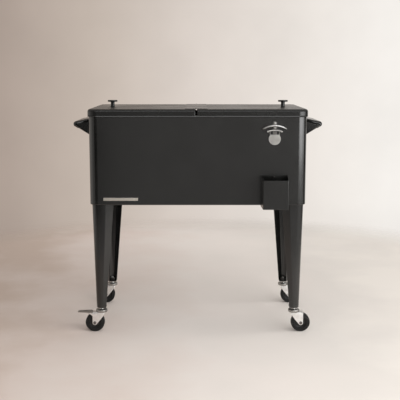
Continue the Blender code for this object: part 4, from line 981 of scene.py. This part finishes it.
def moved(mesh, origin, across, up):
    """A mesh made about its own axes, carried to a place: x along across, y along up and z along across x up."""
    count = len(mesh.vertices)
    points = np.empty(count * 3)
    mesh.vertices.foreach_get("co", points)
    points = placed(points.reshape(-1, 3) - (0, MIDDLE_Y, 0), origin, across, up) + (0, MIDDLE_Y, 0)
    mesh.vertices.foreach_set("co", points.ravel())
    mesh.update()
    return mesh


fork_zinc = zinc_plated("fork_zinc", "#ffffff", "#f3f2f0", 0.36)
# Chrome over the race mirrors the room more sharply than the zinc on the fork does.
chrome = zinc_plated("chromed_race", "#b9b7b4", "#a3a19e", 0.20)
# The axle bolts are plated a darker grey, a painted shade for the shadow round their heads.
axle_zinc_painted_shade = zinc_plated("axle_zinc_painted_shade", "#7c7a78", "#686664", 0.28)
# Grey-black thermoplastic rubber: matt, with scuffs that lighten its tread.
tyre_rubber = mottled("tyre_rubber", "#0f0f0f", "#1a1a19", {"Roughness": 0.62, "IOR": 1.42}, size=0.010, depth=0.00003,
                      fine=0.0008, detail=5, ends=(0.35, 0.75))
hub_plastic = black_phenolic("hub_plastic", 0.42)
half_gap = FORK_GAP / 2
outside = half_gap + FORK_SHEET
crown = CROWN_BOTTOM + FORK_SHEET
channel = [(-outside, FORK_LOW), (-half_gap, FORK_LOW), (-half_gap, CROWN_BOTTOM), (half_gap, CROWN_BOTTOM),
           (half_gap, FORK_LOW), (outside, FORK_LOW), (outside, crown), (-outside, crown)]
channel = rounded_polygon(channel, [0, 0, 0.0010, 0.0010, 0, 0, 0.0032, 0.0032])
eye = circle((TRAIL, WHEEL_RADIUS), FORK_END, 210, 360, 24)
cheek = [*eye, (FORK_BACK, 0.075), (-FORK_NOSE, 0.075), (-FORK_NOSE, CROWN_BOTTOM - 0.0008), FORK_KNEE]
cheek = rounded_polygon(cheek, [*[0] * len(eye), 0, 0, 0.0030, 0.012])
plan = rounded_polygon(rectangle(-FORK_NOSE, FORK_BACK, -outside, outside), [0.006, 0.001, 0.001, 0.006])
axle_bore, pin_bore = AXLE_RADIUS + GAP, KINGPIN_RADIUS + GAP
lower_race = lathe([
    (pin_bore, RACE_SPLIT - GAP),
    (pin_bore, crown - 0.001),
    (RACE_RADIUS - LOWER_ROUND, crown - 0.001),
    *circle((RACE_RADIUS - LOWER_ROUND, crown + LOWER_ROUND), LOWER_ROUND, -90, 0, 6),
    (RACE_RADIUS, RACE_SPLIT - GAP - 0.0004),
    (RACE_RADIUS - 0.0004, RACE_SPLIT - GAP),
], 64)
stem_foot = PLATE_LOW - GAP
upper_race = lathe([
    (POLE, RACE_SPLIT),
    (RACE_RADIUS - 0.0004, RACE_SPLIT),
    (RACE_RADIUS, RACE_SPLIT + 0.0004),
    *circle((RACE_RADIUS - UPPER_ROUND, RACE_TOP - UPPER_ROUND), UPPER_ROUND, 0, 90, 8),
    (NECK_RADIUS + 0.0016, RACE_TOP),
    (NECK_RADIUS + 0.0004, RACE_TOP + 0.0004),
    (NECK_RADIUS, RACE_TOP + 0.0014),
    (NECK_RADIUS, stem_foot - EDGE),
    (NECK_RADIUS - EDGE, stem_foot),
    (POLE, stem_foot),
], 64)
kingpin = lathe([
    (POLE, KINGPIN_BOTTOM),
    (KINGPIN_HEAD - 0.0006, KINGPIN_BOTTOM),
    (KINGPIN_HEAD, KINGPIN_BOTTOM + 0.0006),
    (KINGPIN_HEAD, CROWN_BOTTOM - GAP),
    (KINGPIN_RADIUS, CROWN_BOTTOM - GAP),
    (KINGPIN_RADIUS, RACE_SPLIT),
    (POLE, RACE_SPLIT),
], 32)
thread = threaded(stem_foot, STEM_TOP, THREAD_RADIUS, THREAD_PITCH, THREAD_DEPTH)
nut_low = PLATE_LOW + FOOT_PLATE + GAP
seat = outside + GAP
tip = seat + 0.0005
bolt = lathe([(POLE, -tip), (AXLE_RADIUS, -tip), (AXLE_RADIUS, tip), (POLE, tip)], 32)
boss = half_gap - GAP
half_hub = [(HUB_BOSS - 0.0006, boss), (HUB_BOSS, boss - 0.0006), (HUB_BOSS + 0.0004, 0.0060),
            (HUB_BOSS + 0.0016, HUB_WEB / 2), (0.0180, HUB_WEB / 2), (0.0192, 0.0060), (0.0196, 0.0090),
            (0.0200, HUB_RIM)]
hub = lathe([(axle_bore, -boss), *((radius, -height) for radius, height in half_hub), (TYRE_INNER - GAP, -HUB_RIM),
             (TYRE_INNER - GAP, HUB_RIM), *half_hub[::-1], (axle_bore, boss)], 72)
half = WHEEL_WIDTH / 2
half_tyre = [(TYRE_INNER, half - 0.0004), (TYRE_INNER + 0.0004, half), (TYRE_INNER + 0.0035, half),
             (TYRE_INNER + 0.0040, half - 0.0003), (TYRE_INNER + 0.0045, half),
             *circle((WHEEL_RADIUS - TYRE_SHOULDER, half - TYRE_SHOULDER), TYRE_SHOULDER, 90, 0, 7)]
tyre = lathe([*((radius, -height) for radius, height in half_tyre), *half_tyre[::-1]], 96)
for name, side, end in CORNERS:
    origin, outward, along = (side * CASTER_X, end * CASTER_Y, 0), (side, 0, 0), (0, side, 0)
    level, upright, endways = (origin, outward, along), (origin, outward, (0, 0, 1)), (origin, along, (0, 0, 1))
    spindle = ((origin[0] + side * TRAIL, origin[1], WHEEL_RADIUS), outward, (0, 0, 1))
    swivel, wheel = name + "_swivel", name + "_wheel"
    fork = skin(placed(stacked(channel, -FORK_NOSE - 0.001, FORK_BACK + 0.001), *endways))
    fork = cut(fork, skin(placed(stacked(cheek, -0.02, 0.02), *upright)), operation="INTERSECT")
    fork = cut(fork, skin(placed(stacked(plan, 0.02, 0.08), *level)), operation="INTERSECT")
    holes = [placed(drill(axle_bore, -0.02, 0.02), *spindle), placed(drill(pin_bore, 0.06, 0.08), *level)]
    fork = rounded_edges(cut(fork, *(skin(hole) for hole in holes)), 0.0005, 2, 50)
    show(name + "_fork_pressing", fork, fork_zinc, swivel, name + "_fork")
    race = skin(placed(lower_race, *level), closed=True)
    show(name + "_lower_race", race, chrome, swivel, name + "_fork")
    stem = bundle([skin(placed(grid, *level), sharp=50) for grid in (kingpin, thread)])
    show(name + "_thread", stem, bright_zinc, "cooler", name + "_stem")
    show(name + "_upper_race", skin(placed(upper_race, *level)), chrome, "cooler", name + "_stem")
    nut = moved(hexagonal(STEM_NUT, nut_low, nut_low + STEM_NUT_HEIGHT, THREAD_RADIUS + GAP), *level)
    show(name + "_nut", nut, black_zinc, "cooler", name + "_stem_nut")
    axle = [skin(placed(bolt, *spindle))]
    for low in (seat, -seat - AXLE_HEAD_HEIGHT):
        axle.append(moved(hexagonal(AXLE_HEAD - 0.001, low, low + AXLE_HEAD_HEIGHT, POLE), *spindle))
    show(name + "_axle_bolt", bundle(axle), axle_zinc_painted_shade, swivel, name + "_axle")
    show(name + "_wheel_hub", skin(placed(hub, *spindle), closed=True), hub_plastic, wheel, name + "_hub")
    show(name + "_rubber_tyre", skin(placed(tyre, *spindle), closed=True), tyre_rubber, wheel, name + "_tyre")

# Brake: a zinc plated pedal pressed from sheet, with two ears beside the front left fork.
# It turns on the fork and bears on the tyre.
PEDAL_TOP = 0.0684
PEDAL_SHEET = 0.0018
PEDAL_START = 0.0345
PEDAL_REACH = 0.0796
PEDAL_TIP = 0.0200
PIVOT = (0.0240, 0.0580)
EAR_RADIUS = 0.0050
DENT = 0.0008
origin = (-CASTER_X, -CASTER_Y, 0)
upright, level = (origin, (-1, 0, 0), (0, 0, 1)), (origin, (-1, 0, 0), (0, -1, 0))
ear_inner = outside + GAP
ear_outer = ear_inner + PEDAL_SHEET
half_tip = PEDAL_TIP / 2
pedal = [(PEDAL_START, -ear_outer + 0.0005), (PEDAL_START + TRAIL / 2, -ear_outer + 0.0005), (PEDAL_REACH, -half_tip),
         (PEDAL_REACH, half_tip), (PEDAL_START + TRAIL / 2, ear_outer - 0.0005), (PEDAL_START, ear_outer - 0.0005)]
pedal = rounded_polygon(pedal, [0.001, 0.008, 0.004, 0.004, 0.008, 0.001])
shapes = [skin(placed(stacked(pedal, PEDAL_TOP - PEDAL_SHEET, PEDAL_TOP), *level))]
ear = [*circle(PIVOT, EAR_RADIUS, 135, 315, 24), (PEDAL_START + 2 * EAR_RADIUS, PEDAL_TOP - PEDAL_SHEET),
       (PEDAL_START + 2 * EAR_RADIUS, PEDAL_TOP - PEDAL_SHEET / 2), (PEDAL_START, PEDAL_TOP - PEDAL_SHEET / 2)]
for low in (ear_inner, -ear_outer):
    shapes.append(skin(placed(stacked(ear, low, low + PEDAL_SHEET), *upright)))
recess = rounded_polygon([(PEDAL_START + 0.012, -0.007), (PEDAL_REACH - 0.012, -0.006), (PEDAL_REACH - 0.012, 0.006),
                          (PEDAL_START + 0.012, 0.007)], 0.003)
dent = skin(placed(stacked(recess, PEDAL_TOP - DENT, PEDAL_TOP + PAST), *level))
lever = rounded_edges(cut(united(shapes), dent), 0.0005, 2, 50)
# The pedal's top face is darkened by a painted shade.
pedal_zinc = zinc_plated("pedal_zinc", "#ffffff", "#e9e7e5", 0.34, "#aaa8a5", (PEDAL_TOP - 0.004, PEDAL_TOP - 0.002))
show("brake_pedal", lever, pedal_zinc, "brake", "brake_lever")

# Drain: a white plastic tube through the rear wall, held outside by a black nut on a rubber washer.
# A ribbed black cap screws onto its end.
drain_low, drain_high = box("drain_cap")
DRAIN_X, DRAIN_HEIGHT = (drain_low[0] + drain_high[0]) / 2, (drain_low[2] + drain_high[2]) / 2
DRAIN_BORE = 0.0080
DRAIN_TUBE = 0.0110
DRAIN_FLANGE = 0.0170
FLANGE_SHEET = 0.0025
DRAIN_NUT = 0.0165
DRAIN_WASHER = 0.0160
CAP_WALL = 0.0025
RIBS = 24
CAP_ROUND = 0.0015
rearwards = ((DRAIN_X, REAR, DRAIN_HEIGHT), (-1, 0, 0), (0, 0, 1))
cap_base, cap_end = (corner[1] - MIDDLE_Y - REAR for corner in (drain_low, drain_high))
flange = -WALL - GAP
tube = [(DRAIN_BORE, flange - FLANGE_SHEET), (DRAIN_FLANGE - 0.0006, flange - FLANGE_SHEET),
        (DRAIN_FLANGE, flange - FLANGE_SHEET + 0.0006), (DRAIN_FLANGE, flange), (DRAIN_TUBE, flange),
        (DRAIN_TUBE, cap_end - CAP_WALL - GAP), (DRAIN_BORE, cap_end - CAP_WALL - GAP)]
tube = skin(placed(lathe(tube), *rearwards), closed=True)
show("drain_tube", tube, tub_white, "cooler", "drain_spout")
bore = DRAIN_TUBE + GAP
washer_low, washer_high = (corner[1] - MIDDLE_Y - REAR for corner in box("drain_washer"))
washer = [(bore, washer_low), (DRAIN_WASHER - 0.0005, washer_low), (DRAIN_WASHER, washer_low + 0.0005),
          (DRAIN_WASHER, washer_high - 0.0005), (DRAIN_WASHER - 0.0005, washer_high), (bore, washer_high)]
washer = skin(placed(lathe(washer), *rearwards), closed=True)
show("drain_seal", washer, tyre_rubber, "cooler", "drain_washer")
nut_low, nut_high = (corner[1] - MIDDLE_Y - REAR for corner in box("drain_nut"))
nut = moved(hexagonal(DRAIN_NUT, nut_low, nut_high, bore), *rearwards)
show("drain_lock_nut", nut, phenolic, "cooler", "drain_nut")
outer = bore + CAP_WALL
cap = lathe([
    (bore, cap_end - CAP_WALL),
    (bore, cap_base + EDGE),
    (bore + EDGE, cap_base),
    (outer - 0.0004, cap_base),
    (outer, cap_base + 0.0005),
    (outer, cap_end - 0.0020),
    *circle((outer - CAP_ROUND, cap_end - CAP_ROUND), CAP_ROUND, 0, 90, 5),
    (POLE, cap_end),
], RIBS * 8)
turn = np.arctan2(cap[..., 1], cap[..., 0])
side_wall = (np.hypot(cap[..., 0], cap[..., 1]) > outer - 0.0005) & (cap[..., 2] < cap_end - 0.0018)
dip = 1 - 0.035 * (0.5 + 0.5 * np.cos(RIBS * turn)) * side_wall * (cap[..., 2] > cap_base + EDGE)
cap[..., :2] *= dip[..., None]
cap = skin(placed(cap, *rearwards), sharp=50)
show("drain_screw_cap", cap, phenolic, "drain_plug", "drain_cap")

# Stage: a pale plaster floor that fades into a lime washed wall.
# Daylight comes from tall windows on the right.
FLOOR_HALF = 2.2
FADE_CENTRE = (0, 0.3, 0)
FADE_START = 1.30
FADE_END = 1.85
# The floor's tint from left to right, with painted shade on the left and painted light in the middle.
FLOOR_PAINTED_LIGHT_AND_SHADE = [(0, "#c8b6aa"), (1, "#e1dbd4"), (0.175, "#d8cac2"), (0.5, "#e0d8d2"), (0.825, "#d8d2cc")]
FLOOR_CLOUD = 0.35

corners = np.array(rectangle(-1, 1, -1, 1)) * FLOOR_HALF
floor_mesh = bpy.data.meshes.new("floor")
floor_mesh.from_pydata(np.column_stack([corners, np.zeros(4)]).tolist(), [], [(0, 1, 2, 3)])
# Lime plaster: chalky and matt, with broad pale clouds. Its tint across x is painted light and shade: a little darker
# and warmer on the left, where shade falls, and lighter in the middle, under the cooler.
plaster, place = blank("lime_plaster")
split = add(plaster, "SeparateXYZ", {"Vector": place})
side_share = add(plaster, "MapRange", {"Value": split.outputs["X"], "From Min": -0.8, "From Max": 0.8})
cloud = add(plaster, "TexNoise", {"Vector": place, "Scale": 1 / FLOOR_CLOUD, "Detail": 5})
shift = add(plaster, "MapRange", {"Value": cloud, "From Min": 0.3, "From Max": 0.7, "To Min": -0.12, "To Max": 0.12})
total = add(plaster, "Math", {"operation": "ADD", "use_clamp": True, 0: side_share, 1: shift})
tint = add(plaster, "ValToRGB", {"Fac": total, "stops": FLOOR_PAINTED_LIGHT_AND_SHADE})
reach = add(plaster, "VectorMath", {"operation": "DISTANCE", 0: place, 1: FADE_CENTRE}).outputs["Value"]
ends = {"From Min": FADE_START, "From Max": FADE_END, "To Min": 1.0, "To Max": 0.0}
fade = add(plaster, "MapRange", {"interpolation_type": "SMOOTHSTEP", "Value": reach, **ends})
floor_mesh.materials.append(shaded(plaster, {"Base Color": tint, "Roughness": 0.9, "Alpha": fade}))
floor = bpy.data.objects.new("floor", floor_mesh)
bpy.context.scene.collection.objects.link(floor)

# The walls: their colour by direction, through stops of a turn that starts behind and goes by the left, and darker
# above. Share of the turn = atan2(x, -y) / (2 pi) + 0.5; height = (sin(elevation) + 0.25) / 1.25.
WALLS = [(0.000, "#ddd3cb"), (1.000, "#ddd3cb"), (0.018, "#c6b9ae"), (0.037, "#aa9b91"), (0.060, "#ab9a8e"),
         (0.140, "#d2c9c0"), (0.250, "#f4f0ea"), (0.315, "#b9b5b0"), (0.470, "#b4b1ae"), (0.540, "#b4b1ae"),
         (0.640, "#cfccc8"), (0.760, "#cfccc8"), (0.900, "#e0dbd5"), (0.963, "#f5f1ec"), (0.982, "#ebe4dd")]
HEIGHTS = [(0.0, "#eeeeee"), (1.0, "#e8e8e8"), (0.08, "#ffffff"), (0.26, "#ffffff"), (0.34, "#bcbcbc"),
           (0.60, "#c8c8c8"), (0.84, "#e0e0e0")]
room = bpy.data.worlds.new("room")
room.use_nodes = True
room.node_tree.nodes.clear()
place = add(room, "TexCoord").outputs["Generated"]
split = add(room, "SeparateXYZ", {"Vector": place})
forwards = add(room, "Math", {"operation": "MULTIPLY", 0: split.outputs["Y"], 1: -1.0})
turn = add(room, "Math", {"operation": "ARCTAN2", 0: split.outputs["X"], 1: forwards})
share = add(room, "Math", {"operation": "MULTIPLY_ADD", 0: turn, 1: 0.5 / math.pi, 2: 0.5})
climb = add(room, "MapRange", {"Value": split.outputs["Z"], "From Min": -0.25, "From Max": 1.0})
wall = add(room, "ValToRGB", {"Fac": share, "stops": WALLS})
shade = add(room, "ValToRGB", {"Fac": climb, "stops": HEIGHTS})
wall_light = add(room, "MixRGB", {"blend_type": "MULTIPLY", "Fac": 1.0, "Color1": wall, "Color2": shade})
patches = add(room, "TexNoise", {"Vector": place, "Scale": 9.0, "Detail": 6.0})
wash = add(room, "MapRange", {"Value": patches, "From Min": 0.3, "From Max": 0.7, "To Min": 0.95, "To Max": 1.05})
background = add(room, "Background", {"Color": wall_light, "Strength": wash})
add(room, "OutputWorld", {"Surface": background})
bpy.context.scene.world = room

LOW_GLOW = 0.80
HIGH_GLOW = 1.00


def card(name, centre, width, low, high, glow=0.0):
    """An upright board that faces the middle of the floor, seen in gloss alone: matt black, or with a glow a window.

    The window is bright up to the height of the lid and a quarter as bright above it, where it shows sky.
    """
    away = np.array(centre) / math.hypot(*centre)
    across = np.array([-away[1], away[0]]) * width / 2
    near, far = np.array(centre) - across, np.array(centre) + across
    mesh = bpy.data.meshes.new(name)
    mesh.from_pydata([(*near, low), (*far, low), (*far, high), (*near, high)], [], [(0, 1, 2, 3)])
    material, place = blank(name)
    settings = {"Base Color": colour("#0a0a0a"), "Roughness": 0.9}
    if glow:
        height = add(material, "SeparateXYZ", {"Vector": place}).outputs["Z"]
        ends = {"From Min": LOW_GLOW, "From Max": HIGH_GLOW, "To Min": glow, "To Max": glow / 4}
        strength = add(material, "MapRange", {"Value": height, **ends})
        settings |= {"Emission Color": (1, 1, 1, 1), "Emission Strength": strength}
    mesh.materials.append(shaded(material, settings))
    board = bpy.data.objects.new(name, mesh)
    board.visible_camera = board.visible_shadow = board.visible_diffuse = False
    bpy.context.scene.collection.objects.link(board)


card("black_card_left", (-1.035, -1.698), 1.15, 0, 0.82)
card("black_card_right", (1.85, 0.30), 0.89, 0, 1.4)
card("front_window", (1.52, -1.74), 1.58, 0.38, 2.2, 6.0)
card("side_window", (2.234, -0.865), 0.90, 0.38, 2.2, 3.6)


def soft_lamp(name, place, aim, size, power, glossy):
    """A rectangular area lamp at a place, turned to face a point; gloss mirrors it or not."""
    lamp = bpy.data.lights.new(name, "AREA")
    lamp.shape = "RECTANGLE"
    lamp.size, lamp.size_y = size
    lamp.energy = power
    holder = bpy.data.objects.new(name, lamp)
    holder.location = place
    away = np.array(place, dtype=float) - np.array(aim, dtype=float)
    flat = math.hypot(away[0], away[1])
    holder.rotation_euler = (math.atan2(flat, away[2]), 0, math.atan2(away[0], -away[1]))
    holder.visible_camera = False
    holder.visible_glossy = glossy
    bpy.context.scene.collection.objects.link(holder)


soft_lamp("daylight_front", (1.511, -1.878, 1.25), (0.35, -0.25, 1.0), (1.66, 1.6), 33.5, False)
soft_lamp("daylight_side", (2.333, -0.511, 1.55), (0.35, -0.25, 1.2), (1.9, 2.2), 39, False)
soft_lamp("fill", (0, -2.5, 0.9), (0, 0, 0.1), (2.4, 0.8), 9.7, False)
soft_lamp("strip", (0.2, -2.3, 2.4), (0, 0, 0.7), (2.2, 0.9), 15, True)
soft_lamp("fill_back", (0.3, 1.7, 0.9), (0.1, 0.2, 0), (2.4, 0.8), 8, False)

# Camera: a little above the lid, square to the cabinet's front.
# Its place and lens were fitted to the cabinet's edges and to where the wheels meet the floor.
lens = bpy.data.cameras.new("camera")
lens.lens = 76.5
lens.sensor_width = 36
lens.shift_x = 0.0056
viewer = bpy.data.objects.new("camera", lens)
viewer.location = (0, -2.9363, 0.873)
viewer.rotation_euler = (math.radians(81.31), 0, 0)
bpy.context.scene.collection.objects.link(viewer)
bpy.context.scene.camera = viewer
bpy.context.scene.view_settings.view_transform = "Standard"
